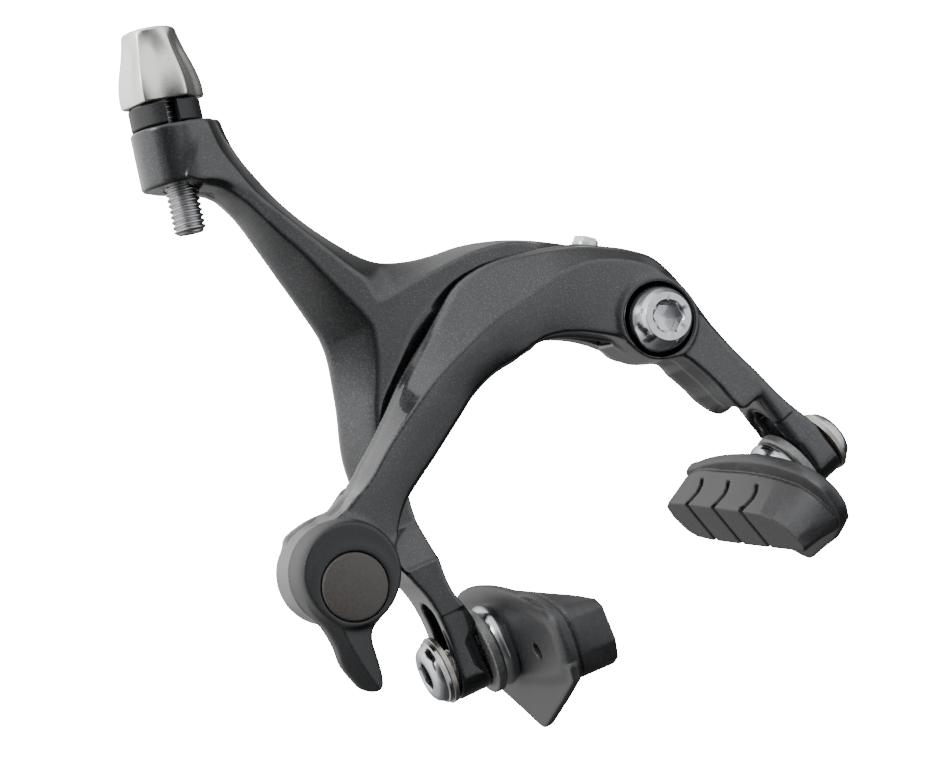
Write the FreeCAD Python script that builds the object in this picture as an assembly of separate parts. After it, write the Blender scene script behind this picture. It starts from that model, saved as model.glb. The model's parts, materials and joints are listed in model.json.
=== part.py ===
"""Dual-pivot side-pull rim brake caliper, shown fully open.

Frame: origin on the centre bolt's axis where the caliper's rear face meets the
bicycle, +Z up, +X to the right seen from the front, and -Y towards the front.
Both arms are drawn in their mid-travel place, where the shoe bolts are level,
and are then turned out about their own pivots to the open rest pose.
"""
import FreeCAD, Part
import math
import os

V = FreeCAD.Vector
X_AXIS = V(1, 0, 0)
Y_AXIS = V(0, 1, 0)
Z_AXIS = V(0, 0, 1)

# ---------------------------------------------------------------- driving dimensions, mm and degrees
SIDE_X = 23.75          # side pivot, to the right of the centre bolt
SIDE_Z = -13.5          # side pivot, below the centre bolt
REACH = 53.7            # centre bolt down to the shoe bolt
SHOE_Y = -12.7          # shoe bolt, in front of the mounting face
FOOT_OUT = 37.2         # outer face of both feet, from the middle
FOOT_T = 6.95           # thickness of a foot
OPEN_Y_ARM = 7.16       # how far the Y-arm is turned out at rest
OPEN_C_ARM = 9.21       # how far the C-arm is turned out at rest

M6_R = 3.0              # centre bolt, shoe bolts and adjuster thread
JOURNAL_R = 2.7         # centre bolt inside the caliper, where the Y-arm turns
RUN = 0.05              # radial running clearance
BOLT_REAR = 38.0        # centre bolt, length behind the mounting face

WASHER_T = 1.5          # serrated washer against the bicycle
BRACKET_T = 4.0         # steel pivot bracket
Y_BACK = -6.2           # Y-arm, rear face of its middle
Y_FRONT = -13.2         # Y-arm, front face of its middle
C_BACK = -13.9          # C-arm, rear face where it passes the Y-arm
C_FRONT = -20.0         # C-arm, front face
LEG_BACK = -5.4         # both legs, rear face of the lower part
LEG_FRONT = -18.4       # both legs, front face of the lower part

ADJ_X = -45.3           # adjuster seat on the Y-arm
ADJ_Y = -9.0
ADJ_Z = 55.3
ADJ_TILT = 10.5         # adjuster axis, leaning towards the middle
HEAD_R = 7.0            # round head of the Y-arm under the adjuster
HEAD_L = 10.8
COLLAR_H = 4.2
CAP_H = 13.4

QR_X = -53.85           # quick release on the C-arm's end
QR_Z = -10.35
QR_BOSS_R = 9.4
QR_BOSS_BACK = -10.5
QR_BOSS_FRONT = -20.6
LEVER_FRONT = -28.6
LEVER_R = 9.4
CAP_DX = -1.15          # the lever's round cap sits off its pivot
CAP_DZ = -2.15

BRACKET_FRONT = -WASHER_T - BRACKET_T
FOOT_IN = FOOT_OUT - FOOT_T
SLOT_R = M6_R + 0.15
SLOT_UP = 9.0           # travel of a shoe bolt up its slot
FACE_GAP = 0.05         # between a foot and the washers that slide on it


# ---------------------------------------------------------------- small helpers
def rod(point, axis, radius, length):
    """Round bar from point along axis."""
    return Part.makeCylinder(radius, length, point, axis)


def rod_y(x, z, radius, y_from, y_to):
    """Round bar along Y between two heights."""
    low, high = min(y_from, y_to), max(y_from, y_to)
    return rod(V(x, low, z), Y_AXIS, radius, high - low)


def ring_y(x, z, outer_r, inner_r, y_from, y_to):
    """Round ring along Y between two heights."""
    return rod_y(x, z, outer_r, y_from, y_to).cut(rod_y(x, z, inner_r, y_from, y_to))


def cone_y(x, z, y_base, r_base, y_top, r_top):
    """Cone along Y from its base to its top."""
    direction = Y_AXIS if y_top > y_base else -Y_AXIS
    return Part.makeCone(r_base, r_top, abs(y_top - y_base), V(x, y_base, z), direction)


def hex_prism(point, axis, flats, length):
    """Hexagonal bar with the given width across flats."""
    radius = flats / math.sqrt(3)
    side = axis.cross(Z_AXIS if abs(axis.z) < 0.9 else X_AXIS).normalize()
    up = axis.cross(side)
    angles = [math.radians(60 * k) for k in range(7)]
    corners = [point + side * (radius * math.cos(a)) + up * (radius * math.sin(a)) for a in angles]
    return Part.Face(Part.makePolygon(corners)).extrude(axis * length)


def spline(points, y):
    """Smooth edge through (x, z) points at one depth."""
    curve = Part.BSplineCurve()
    curve.interpolate([V(x, y, z) for x, z in points])
    return curve.toShape()


def plate(edges_xz, y_from, y_to):
    """Solid between two depths from stretches of outline; a two-point stretch is straight."""
    edges = []
    for points in edges_xz:
        if len(points) == 2:
            start, end = [V(x, y_from, z) for x, z in points]
            edges.append(Part.makeLine(start, end))
        else:
            edges.append(spline(points, y_from))
    return Part.Face(Part.Wire(edges)).extrude(V(0, y_to - y_from, 0))


def closed(first, second):
    """Two curved stretches joined end to end by straight ones."""
    return [first, [first[-1], second[0]], second, [second[-1], first[0]]]


def front_bevel(solid, y_front, size, left_of=1000.0):
    """Chamfer the curved edges of a plate's front face that start left of a limit."""
    edges = []
    for edge in solid.Edges:
        box = edge.BoundBox
        flat = abs(box.YMin - y_front) < 0.001 and abs(box.YMax - y_front) < 0.001
        if flat and edge.Curve.TypeId == "Part::GeomBSplineCurve" and box.XMin < left_of:
            edges.append(edge)
    return solid.makeChamfer(size, edges)


def stadium_x(x_from, x_to, radius, z_low, z_high, y=SHOE_Y):
    """Upright round-ended bar along X, as for a slot."""
    low = rod(V(x_from, y, z_low), X_AXIS, radius, x_to - x_from)
    high = rod(V(x_from, y, z_high), X_AXIS, radius, x_to - x_from)
    middle = Part.makeBox(x_to - x_from, 2 * radius, z_high - z_low, V(x_from, y - radius, z_low))
    return low.fuse(high).fuse(middle).removeSplitter()


def tube_path(points, bend, radius):
    """Round wire along straight runs joined by tangent arcs."""
    edges = []
    start = points[0]
    for before, corner, after in zip(points, points[1:], points[2:]):
        into = (corner - before).normalize()
        out = (after - corner).normalize()
        turn = into.getAngle(out)
        trim = bend * math.tan(turn / 2)
        first = corner - into * trim
        last = corner + out * trim
        half = (out - into).normalize()
        middle = corner + half * (bend / math.cos(turn / 2) - bend)
        edges.append(Part.makeLine(start, first))
        edges.append(Part.Arc(first, middle, last).toShape())
        start = last
    edges.append(Part.makeLine(start, points[-1]))
    wire = Part.Wire(edges)
    section = Part.Wire(Part.makeCircle(radius, points[0], points[1] - points[0]))
    return wire.makePipeShell([section], True, True)


# ---------------------------------------------------------------- placing the two arms
def on_y_arm(shape):
    """From mid-travel to the open rest pose, about the centre bolt."""
    moved = shape.copy()
    moved.rotate(V(0, 0, 0), Y_AXIS, OPEN_Y_ARM)
    return moved


def on_c_arm(shape):
    """From mid-travel to the open rest pose, about the side pivot."""
    moved = shape.copy()
    moved.rotate(V(SIDE_X, 0, SIDE_Z), Y_AXIS, -OPEN_C_ARM)
    return moved


ADJ_AXIS = V(math.sin(math.radians(ADJ_TILT)), 0, math.cos(math.radians(ADJ_TILT)))
ADJ_SEAT = V(ADJ_X, ADJ_Y, ADJ_Z)


# ---------------------------------------------------------------- parts fixed to the bicycle
BRACKET_HUB_R = 6.4
SIDE_HUB_R = 6.6
SIDE_PIN_R = 4.0
BOLT_HEAD_BASE = -18.6
BOLT_HEAD_TOP = -23.8
LOCK_NUT_R = 4.6
LOCK_NUT_FRONT = -13.0
LOCK_NUT_BACK = -10.4
SPRING_WIRE_R = 0.8
SPRING_Y = -3.6
THREAD_CORE_R = 2.5


def centre_bolt():
    shaft = rod_y(0, 0, M6_R, 0, BOLT_REAR)
    journal = rod_y(0, 0, JOURNAL_R, LOCK_NUT_FRONT + 0.4, 0)
    tip = cone_y(0, 0, BOLT_REAR, M6_R, BOLT_REAR + 1.0, M6_R - 0.8)
    flange = rod_y(0, 0, 5.2, Y_BACK + 0.15, BRACKET_FRONT)
    return shaft.fuse([journal, tip, flange]).removeSplitter()


def serrated_washer():
    outer_r = 8.0
    teeth = 24
    ring = ring_y(0, 0, outer_r, M6_R + RUN, -WASHER_T, 0)
    notch = Part.makeBox(3.0, 0.4, 0.9, V(outer_r - 2.5, -0.4, -0.45))
    cuts = []
    for k in range(teeth):
        cut = notch.copy()
        cut.rotate(V(0, 0, 0), Y_AXIS, 360.0 * k / teeth)
        cuts.append(cut)
    return ring.cut(Part.makeCompound(cuts))


def pivot_bracket():
    """Steel link with a hub on the centre bolt and a hub for the side pivot's pin."""
    hubs = rod_y(0, 0, BRACKET_HUB_R, BRACKET_FRONT, -WASHER_T)
    hubs = hubs.fuse(rod_y(SIDE_X, SIDE_Z, SIDE_HUB_R, BRACKET_FRONT, -WASHER_T))
    upper = [(0, BRACKET_HUB_R), (9, 3.6), (18, -4.0), (SIDE_X + 3.9, SIDE_Z + 5.3)]
    lower = [(SIDE_X - 3.9, SIDE_Z - 5.3), (14, -11.5), (7, -7.2), (-2.5, -5.9)]
    web = plate([upper, [upper[-1], lower[0]], lower, [lower[-1], upper[0]]], BRACKET_FRONT, -WASHER_T)
    body = hubs.fuse(web).removeSplitter()
    body = body.cut(rod_y(0, 0, JOURNAL_R, BRACKET_FRONT, -WASHER_T))
    return body.cut(rod_y(SIDE_X, SIDE_Z, SIDE_PIN_R, BRACKET_FRONT, -WASHER_T))


def side_pivot_pin():
    pin = rod_y(SIDE_X, SIDE_Z, SIDE_PIN_R, -WASHER_T, BOLT_HEAD_BASE + 0.6)
    return pin.cut(rod_y(SIDE_X, SIDE_Z, THREAD_CORE_R, -8.0, BOLT_HEAD_BASE + 0.6))


def side_pivot_bolt():
    """Conical cap screw that holds the C-arm on the side pivot's pin."""
    base_r, ring_r, socket = 6.7, 4.1, 5.0
    head = cone_y(SIDE_X, SIDE_Z, BOLT_HEAD_BASE, base_r, BOLT_HEAD_TOP + 0.4, ring_r + 0.2)
    head = head.fuse(rod_y(SIDE_X, SIDE_Z, ring_r, BOLT_HEAD_TOP, BOLT_HEAD_TOP + 0.4))
    head = head.cut(hex_prism(V(SIDE_X, BOLT_HEAD_TOP, SIDE_Z), Y_AXIS, socket, 3.0))
    shank = rod_y(SIDE_X, SIDE_Z, THREAD_CORE_R, -9.0, BOLT_HEAD_BASE)
    return head.fuse(shank).removeSplitter()


def side_pivot_washers():
    """Thin bearing washers in front of and behind the C-arm's hub."""
    washer_r, front_t, rear_t = 6.3, 0.5, 0.6
    front = ring_y(SIDE_X, SIDE_Z, washer_r, SIDE_PIN_R, BOLT_HEAD_BASE, BOLT_HEAD_BASE + front_t)
    rear = ring_y(SIDE_X, SIDE_Z, washer_r, SIDE_PIN_R, BRACKET_FRONT - rear_t, BRACKET_FRONT)
    return Part.makeCompound([front, rear])


def centre_lock_nut():
    """Round slotted nut let into the front of the Y-arm's hub."""
    nut = ring_y(0, 0, LOCK_NUT_R, JOURNAL_R, LOCK_NUT_FRONT, LOCK_NUT_BACK)
    slot = Part.makeBox(2 * LOCK_NUT_R, 1.0, 1.4, V(-LOCK_NUT_R, LOCK_NUT_FRONT, -0.7))
    return nut.cut(slot)


HOLDER_X = 10.5         # block that grips the spring, middle of its length
HOLDER_L = 7.0
WIRE_Z = 7.7            # height of the wire where the block grips it
LEFT_WIRE = (V(-29.0, SPRING_Y, 1.0), V(-36.5, SPRING_Y, -17.0))
RIGHT_WIRE = (V(32.8, SPRING_Y, -6.0), V(29.6, SPRING_Y, -32.0))


def spring_holder():
    """Block clamped on the bracket's upper edge that grips the middle of the spring."""
    low, high = -1.0, WIRE_Z + 1.7
    start = V(HOLDER_X - HOLDER_L / 2, BRACKET_FRONT, low)
    block = Part.makeBox(HOLDER_L, BRACKET_T, high - low, start).cut(pivot_bracket())
    return block.cut(rod(V(start.x, SPRING_Y, WIRE_Z), X_AXIS, SPRING_WIRE_R, HOLDER_L))


def return_spring():
    """Bent wire whose ends push both arms open."""
    points = [LEFT_WIRE[1], LEFT_WIRE[0], V(-14.0, SPRING_Y, 9.0), V(2.0, SPRING_Y, WIRE_Z),
              V(HOLDER_X + HOLDER_L / 2 + 1.0, SPRING_Y, WIRE_Z), RIGHT_WIRE[0], RIGHT_WIRE[1]]
    return tube_path(points, 5.0, SPRING_WIRE_R)


# ---------------------------------------------------------------- Y-arm
HUB_R = 6.9
BUSH_R = 4.3
BAR_BACK = -4.6         # the bar up to the adjuster is deeper than the arm's middle
BAR_FRONT = -14.6
NUT_RECESS = LOCK_NUT_BACK + FACE_GAP
SLIDER_BACK = -6.1      # front-to-back place of the sliders for the spring's ends
SLIDER_FRONT = -2.6
SLIDER_W = 2.4
SLIDER_GAP = 0.15
PLUG_R = 1.1
PLUG_L = 3.4


def leg_profile(front, back, z_top):
    """Side outline of a foot: square above, round below the shoe bolt."""
    radius = (back - front) / 2
    middle = (front + back) / 2
    top = Part.makeBox(200, back - front, z_top + REACH, V(-100, front, -REACH))
    return top.fuse(rod(V(-100, middle, -REACH), X_AXIS, radius, 200))


def y_arm():
    outer = [(-37.2, 53.9), (-34.6, 47.0), (-31.7, 39.3), (-26.5, 31.3), (-22.2, 24.8),
             (-18.5, 20.5), (-13.6, 17.9), (-8.0, 16.6), (-2.4, 16.3), (6.1, 14.4),
             (11.1, 12.5), (15.3, 10.5), (19.7, 8.0)]
    branch_end = [(19.7, 8.0), (24.4, 3.4), (25.0, -1.5)]
    under = [(25.0, -1.5), (21.0, -2.4), (17.0, -1.0), (11.5, -0.6), (6.4, -2.6), (0.0, -HUB_R),
             (-7.5, -3.2), (-15.5, -0.4), (-22.0, -3.5), (-27.5, -12.0), (-31.0, -24.0), (-31.6, -34.0)]
    left = [(-38.6, -34.0), (-38.9, -22.0), (-38.6, -13.0), (-35.5, -1.3), (-33.8, 9.6), (-34.9, 15.3),
            (-36.6, 22.3), (-38.3, 29.3), (-40.4, 37.0), (-43.8, 42.6), (-47.0, 44.5)]
    closing = [[left[-1], (-46.0, 53.0)], [(-46.0, 53.0), outer[0]]]
    body = plate([outer, branch_end, under, [under[-1], left[0]], left] + closing, Y_BACK, Y_FRONT)
    body = front_bevel(body, Y_FRONT, 2.6, 0.0)
    # the bar swells towards the adjuster, with a narrow ridge along its front
    lower_bar = [(-46.0, 44.2), (-39.8, 39.2), (-35.0, 30.4), (-30.6, 20.4)]
    upper_bar = [(-24.6, 19.8), (-28.1, 25.8), (-32.6, 33.0), (-38.0, 44.0), (-40.0, 52.6)]
    bar = plate(closed(lower_bar, upper_bar), BAR_BACK, BAR_FRONT)
    head_axis_low = ADJ_SEAT - ADJ_AXIS * HEAD_L
    head = rod(head_axis_low, ADJ_AXIS, HEAD_R, HEAD_L)
    # lower leg, thicker front to back, with its squared shoulder
    leg_left = [(-38.6, -34.0), (-38.0, -36.2), (-FOOT_OUT, -38.2)]
    leg_right = [(-FOOT_IN, -45.0), (-31.5, -41.0), (-31.6, -34.0)]
    low = -REACH - 7.0
    sole = [[leg_left[-1], (-FOOT_OUT, low)], [(-FOOT_OUT, low), (-FOOT_IN, low)],
            [(-FOOT_IN, low), leg_right[0]]]
    leg = plate([leg_left] + sole + [leg_right, [leg_right[-1], leg_left[0]]], LEG_BACK, LEG_FRONT)
    leg = leg.common(leg_profile(LEG_FRONT, LEG_BACK, 0))
    arm = body.fuse([bar, head, leg, rod_y(0, 0, HUB_R, Y_BACK, Y_FRONT)]).removeSplitter()
    # bores
    arm = arm.cut(rod_y(0, 0, BUSH_R, Y_BACK, NUT_RECESS))
    arm = arm.cut(rod_y(0, 0, LOCK_NUT_R + 0.3, NUT_RECESS, Y_FRONT))
    arm = arm.cut(rod(ADJ_SEAT - ADJ_AXIS * 30, ADJ_AXIS, M6_R, 40))
    arm = arm.cut(stadium_x(-45, -20, SLOT_R, -REACH, -REACH + SLOT_UP))
    arm = arm.cut(rod(SCREW_BASE, SCREW_AXIS, SCREW_R + RUN, 20))
    return arm.cut(rod(SCREW_HEAD - SCREW_AXIS * 0.1, SCREW_AXIS, SCREW_HEAD_R + 0.3, 8))


def centre_bush():
    sleeve = rod_y(0, 0, BUSH_R, Y_BACK, NUT_RECESS)
    return sleeve.cut(rod_y(0, 0, JOURNAL_R + RUN, Y_BACK, NUT_RECESS))


# centring screw through the end of the Y-arm's branch; its tip faces the C-arm's lug
SCREW_R = 1.5
SCREW_HEAD_R = 2.6
SCREW_ANGLE = 34.0
SCREW_AXIS = V(math.sin(math.radians(SCREW_ANGLE)), 0, math.cos(math.radians(SCREW_ANGLE)))
SCREW_HEAD = V(20.4, -10.3, 6.9)
SCREW_LENGTH = 11.5
SCREW_BASE = SCREW_HEAD - SCREW_AXIS * SCREW_LENGTH


def centring_screw():
    head_h = 2.0
    shaft = rod(SCREW_BASE, SCREW_AXIS, SCREW_R, SCREW_LENGTH)
    head = rod(SCREW_HEAD, SCREW_AXIS, SCREW_HEAD_R, head_h)
    socket = hex_prism(SCREW_HEAD + SCREW_AXIS * (head_h - 1.2), SCREW_AXIS, 2.0, 1.2)
    return shaft.fuse(head).cut(socket).removeSplitter()


def slider_place(wire, along, outward):
    """Middle of a slider beside the spring's straight end, on its outer side."""
    run = (wire[1] - wire[0]).normalize()
    side = V(-run.z, 0, run.x) * outward
    return wire[0] + run * along + side * (SPRING_WIRE_R + SLIDER_GAP + SLIDER_W / 2), run


def slider_plug(wire, along, outward):
    place = slider_place(wire, along, outward)[0]
    return rod_y(place.x, place.z, PLUG_R, SLIDER_BACK - SLIDER_GAP - PLUG_L, SLIDER_BACK)


def spring_slider(wire, along, outward):
    """Nylon shoe, plugged into the rear of an arm, on which the spring's end slides."""
    place, run = slider_place(wire, along, outward)
    length = 7.0
    corner = V(-SLIDER_W / 2, SLIDER_BACK, -length / 2)
    pad = Part.makeBox(SLIDER_W, SLIDER_FRONT - SLIDER_BACK, length, corner)
    pad.rotate(V(0, 0, 0), Y_AXIS, math.degrees(math.atan2(run.x, run.z)))
    pad.translate(V(place.x, 0, place.z))
    return slider_plug(wire, along, outward).fuse(pad).removeSplitter()


LEFT_SLIDER = (LEFT_WIRE, 12.0, -1)
RIGHT_SLIDER = (RIGHT_WIRE, 22.0, 1)


# ---------------------------------------------------------------- cable adjuster
BOLT_UP = 9.0           # adjuster bolt above and below the collar's seat
BOLT_DOWN = 19.5
HOUSING_R = 2.55        # seat for a 5 mm cable housing
HOUSING_DEPTH = 6.0


def adjuster_bolt():
    """Hollow threaded bolt that the cap raises and lowers."""
    low = ADJ_SEAT - ADJ_AXIS * BOLT_DOWN
    shaft = rod(low, ADJ_AXIS, M6_R - RUN, BOLT_DOWN + BOLT_UP)
    return shaft.cut(rod(low, ADJ_AXIS, 1.1, BOLT_DOWN + BOLT_UP))


def adjuster_collar():
    """Two black half rings under the cap, parted at the front and the rear."""
    gap_w = 2.2
    ring = rod(ADJ_SEAT, ADJ_AXIS, HEAD_R, COLLAR_H).cut(rod(ADJ_SEAT, ADJ_AXIS, M6_R + 0.3, COLLAR_H))
    gap = Part.makeBox(gap_w, 30, 30, V(-gap_w / 2, -15, -15))
    gap.rotate(V(0, 0, 0), Y_AXIS, ADJ_TILT)
    gap.translate(ADJ_SEAT)
    return ring.cut(gap)


def adjuster_cap():
    """Tapered, fluted cap nut; the cable housing seats in its top."""
    flutes = 6
    base = ADJ_SEAT + ADJ_AXIS * (COLLAR_H + 0.1)
    skirt_h, base_r, shoulder_r, top_r = 5.0, 7.4, 6.9, 4.7
    lower = Part.makeCone(base_r, shoulder_r, skirt_h, base, ADJ_AXIS)
    upper = Part.makeCone(shoulder_r, top_r, CAP_H - skirt_h, base + ADJ_AXIS * skirt_h, ADJ_AXIS)
    cap = lower.fuse(upper)
    flute_r, flute_depth = 9.0, 1.3
    for k in range(flutes):
        angle = math.radians(360.0 * (k + 0.5) / flutes)
        side = X_AXIS * math.cos(angle) + Y_AXIS * math.sin(angle)
        start = side * (flute_r + base_r - flute_depth) - Z_AXIS
        flute = Part.makeCone(flute_r, flute_r + 2.0, CAP_H + 2, start, Z_AXIS)
        flute.rotate(V(0, 0, 0), Y_AXIS, ADJ_TILT)
        flute.translate(base)
        cap = cap.cut(flute)
    cap = cap.cut(rod(base - ADJ_AXIS, ADJ_AXIS, M6_R, CAP_H - 5.0))
    cap = cap.cut(rod(base + ADJ_AXIS * (CAP_H - HOUSING_DEPTH), ADJ_AXIS, HOUSING_R, HOUSING_DEPTH + 1))
    return cap.removeSplitter()


# ---------------------------------------------------------------- C-arm
C_HUB_R = 7.6
SIDE_BUSH_R = 5.2
POCKET_R = 7.2          # round pocket for the side pivot's bolt head
RELIEF_R = 8.6          # clearance round the dished washer
C_HUB_BACK = BRACKET_FRONT - 0.65
CAM_R = 5.0
CAM_BACK = -15.0
ANCHOR_R = 4.0
ANCHOR_TRAVEL = 3.0
LUG = (16.8, -7.0)


def c_arm():
    start = (-48.4, -4.6)
    outer = [start, (-42.9, -0.6), (-35.5, 2.7), (-29.4, 4.8), (-21.8, 8.0), (-15.9, 10.2),
             (-8.5, 13.1), (-2.4, 14.6), (2.2, 14.4), (7.1, 13.3), (12.2, 11.2), (17.1, 8.7),
             (21.0, 6.3), (25.4, 2.5), (28.5, -0.7), (30.9, -4.3), (32.2, -8.5), (32.5, -14.0),
             (32.2, -20.0), (32.3, -27.5)]
    inner = [(24.4, -27.5), (22.6, -24.0), (18.8, -20.4), (15.4, -16.8), (12.9, -12.0), (8.5, -6.8),
             (4.2, -4.0), (-0.2, -2.3), (-4.8, -1.6), (-9.3, -1.7), (-14.5, -2.2), (-23.3, -4.5),
             (-29.0, -6.9), (-35.0, -10.2), (-38.8, -12.8), (-42.1, -15.6), (-45.4, -18.6)]
    arch = plate(closed(outer, inner), C_BACK, C_FRONT)
    arch = front_bevel(arch, C_FRONT, 3.3, -46.0)
    hub = rod_y(SIDE_X, SIDE_Z, C_HUB_R, C_HUB_BACK, C_FRONT + 0.6)
    boss = rod_y(QR_X, QR_Z, QR_BOSS_R, QR_BOSS_BACK, QR_BOSS_FRONT)
    leg_out = [(32.2, -20.0), (32.4, -27.5), (33.4, -34.0), (34.8, -41.3), (FOOT_OUT, -50.0)]
    leg_in = [(FOOT_IN, -45.5), (27.6, -42.5), (26.0, -36.0), (25.4, -29.0), (24.0, -23.0)]
    low = -REACH - 7.0
    sole = [[leg_out[-1], (FOOT_OUT, low)], [(FOOT_OUT, low), (FOOT_IN, low)],
            [(FOOT_IN, low), leg_in[0]]]
    leg = plate([leg_out] + sole + [leg_in, [leg_in[-1], leg_out[0]]], LEG_BACK - 0.8, LEG_FRONT)
    leg = leg.common(leg_profile(LEG_FRONT, LEG_BACK, 0))
    lug = rod_y(LUG[0], LUG[1], 2.4, -8.2, C_BACK - 1.0)
    arm = arch.fuse([hub, boss, leg, lug]).removeSplitter()
    # pocket and bore of the side pivot
    arm = arm.cut(rod_y(SIDE_X, SIDE_Z, POCKET_R, BOLT_HEAD_BASE + 0.55, C_FRONT - 2))
    arm = arm.cut(rod_y(SIDE_X, SIDE_Z, SIDE_BUSH_R, C_HUB_BACK + 1, C_FRONT - 2))
    # quick release: round bore for the cam in front, upright slot for the cable anchor behind
    arm = arm.cut(rod_y(QR_X, QR_Z, CAM_R + RUN, CAM_BACK, QR_BOSS_FRONT - 2))
    arm = arm.cut(anchor_slot())
    # slot and washer relief of the foot
    arm = arm.cut(stadium_x(20, 45, SLOT_R, -REACH, -REACH + SLOT_UP))
    return arm.cut(stadium_x(FOOT_IN - 8, FOOT_IN, RELIEF_R, -REACH, -REACH + SLOT_UP))


def anchor_slot():
    """Upright slot through the rear half of the quick release boss."""
    ends = [rod_y(QR_X, QR_Z + dz, ANCHOR_R + 0.15, CAM_BACK, 0) for dz in (0, ANCHOR_TRAVEL)]
    width = 2 * (ANCHOR_R + 0.15)
    middle = Part.makeBox(width, -CAM_BACK, ANCHOR_TRAVEL, V(QR_X - width / 2, CAM_BACK, QR_Z))
    return ends[0].fuse(ends[1]).fuse(middle).removeSplitter()


def side_pivot_bush():
    return ring_y(SIDE_X, SIDE_Z, SIDE_BUSH_R, SIDE_PIN_R + RUN, C_HUB_BACK, BOLT_HEAD_BASE + 0.55)


# ---------------------------------------------------------------- quick release and cable anchor
TAIL_ANGLE = 27.5       # lever tail at mid-travel, turned outwards from straight down
TAIL_L = 22.6
CAP_R = 5.93            # round disc let into the lever
KEY_FLATS = 6.0         # hexagonal end of the cam's shaft, inside the lever
KEY_L = 4.0


def quick_release_lever():
    front_r = 8.8
    disc = cone_y(QR_X, QR_Z, -24.6, LEVER_R, LEVER_FRONT, front_r)
    disc = disc.fuse(rod_y(QR_X, QR_Z, LEVER_R, -24.6, QR_BOSS_FRONT - 0.3))
    tail = [(-LEVER_R + 0.6, -3.0), (-6.6, -10.0), (-3.4, -16.5), (-1.6, -TAIL_L + 0.6)]
    tail_back = [(1.6, -TAIL_L + 0.6), (3.2, -15.5), (5.2, -10.0), (LEVER_R - 0.4, -3.0)]
    handle = plate([tail, [tail[-1], tail_back[0]], tail_back, [tail_back[-1], tail[0]]], -28.0, -22.4)
    handle.rotate(V(0, 0, 0), Y_AXIS, TAIL_ANGLE)
    handle.translate(V(QR_X, 0, QR_Z))
    lever = disc.fuse(handle).removeSplitter()
    lever = lever.cut(rod_y(QR_X + CAP_DX, QR_Z + CAP_DZ, CAP_R, LEVER_FRONT, LEVER_FRONT + 1.2))
    return lever.cut(hex_prism(V(QR_X, QR_BOSS_FRONT, QR_Z), -Y_AXIS, KEY_FLATS, KEY_L))


def quick_release_cap():
    return rod_y(QR_X + CAP_DX, QR_Z + CAP_DZ, CAP_R, LEVER_FRONT - 0.3, LEVER_FRONT + 1.2)


def quick_release_cam():
    """Round shaft in the boss that the lever turns."""
    shaft = rod_y(QR_X, QR_Z, CAM_R, CAM_BACK - 0.1, QR_BOSS_FRONT)
    return shaft.fuse(hex_prism(V(QR_X, QR_BOSS_FRONT, QR_Z), -Y_AXIS, KEY_FLATS, KEY_L)).removeSplitter()


ANCHOR_FACE = QR_BOSS_BACK + 0.2
PLATE_T = 1.8


def anchor_block():
    block = rod_y(QR_X, QR_Z, ANCHOR_R, CAM_BACK + 0.3, ANCHOR_FACE)
    return block.cut(rod_y(QR_X, QR_Z, THREAD_CORE_R, CAM_BACK + 1.5, ANCHOR_FACE))


def anchor_plate():
    """Pinch washer with a groove for the inner cable."""
    washer = ring_y(QR_X, QR_Z, 6.0, THREAD_CORE_R, ANCHOR_FACE, ANCHOR_FACE + PLATE_T)
    return washer.cut(rod(V(QR_X + 4.0, ANCHOR_FACE, QR_Z - 8), Z_AXIS, 0.8, 16))


def anchor_bolt():
    head_r, head_h, socket_depth = 4.6, 4.0, 2.6
    head_base = ANCHOR_FACE + PLATE_T
    shank = rod_y(QR_X, QR_Z, THREAD_CORE_R, CAM_BACK + 2.0, head_base)
    head = rod_y(QR_X, QR_Z, head_r, head_base, head_base + head_h)
    socket = hex_prism(V(QR_X, head_base + head_h - socket_depth, QR_Z), Y_AXIS, 5.0, socket_depth)
    return shank.fuse(head).cut(socket).removeSplitter()


# ---------------------------------------------------------------- brake shoes, drawn right-handed
FLAT_T = 1.0            # flat washer
SEAT_T = 2.0            # dished washer
CONVEX_T = 3.0          # convex washer
SHOE_BACK = FOOT_IN - SEAT_T - CONVEX_T
SHOE_T = 10.4
SHOE_FACE = SHOE_BACK - SHOE_T
SHOE_FRONT = 24.0       # shoe length in front of its bolt
SHOE_REAR = 28.6        # shoe length behind its bolt
SHOE_DIPS = {"left": 2.5, "right": 5.5}     # each shoe tips nose-down on its bolt
STUD_END = FOOT_OUT + 3.2


def ring_x(x, radius, thickness):
    """Washer on the shoe bolt's axis with a running hole for the stud."""
    centre = V(x, SHOE_Y, -REACH)
    return rod(centre, X_AXIS, radius, thickness).cut(rod(centre, X_AXIS, M6_R + RUN, thickness))


def flat_washer():
    """Outside the foot, under the cap nut."""
    return ring_x(FOOT_OUT + FACE_GAP, 6.4, FLAT_T)


def dished_washer():
    """Inside the foot; the convex washer seats in it."""
    return ring_x(FOOT_IN - SEAT_T, 8.0, SEAT_T - FACE_GAP)


def convex_washer():
    centre = V(SHOE_BACK, SHOE_Y, -REACH)
    dome = Part.makeCone(5.6, 7.6, CONVEX_T - 0.1, centre, X_AXIS)
    return dome.cut(rod(centre, X_AXIS, M6_R, CONVEX_T))


def cap_nut():
    flange_t, dome_h, bore = 1.0, 3.2, 2.6
    base = V(FOOT_OUT + FACE_GAP + FLAT_T, SHOE_Y, -REACH)
    dome = Part.makeCone(5.3, 3.7, dome_h, base + V(flange_t, 0, 0), X_AXIS)
    nut = rod(base, X_AXIS, 5.9, flange_t).fuse(dome)
    nut = nut.cut(rod(base, X_AXIS, M6_R + RUN, bore))
    return nut.cut(hex_prism(base + V(bore, 0, 0), X_AXIS, 5.0, dome_h)).removeSplitter()


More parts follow.
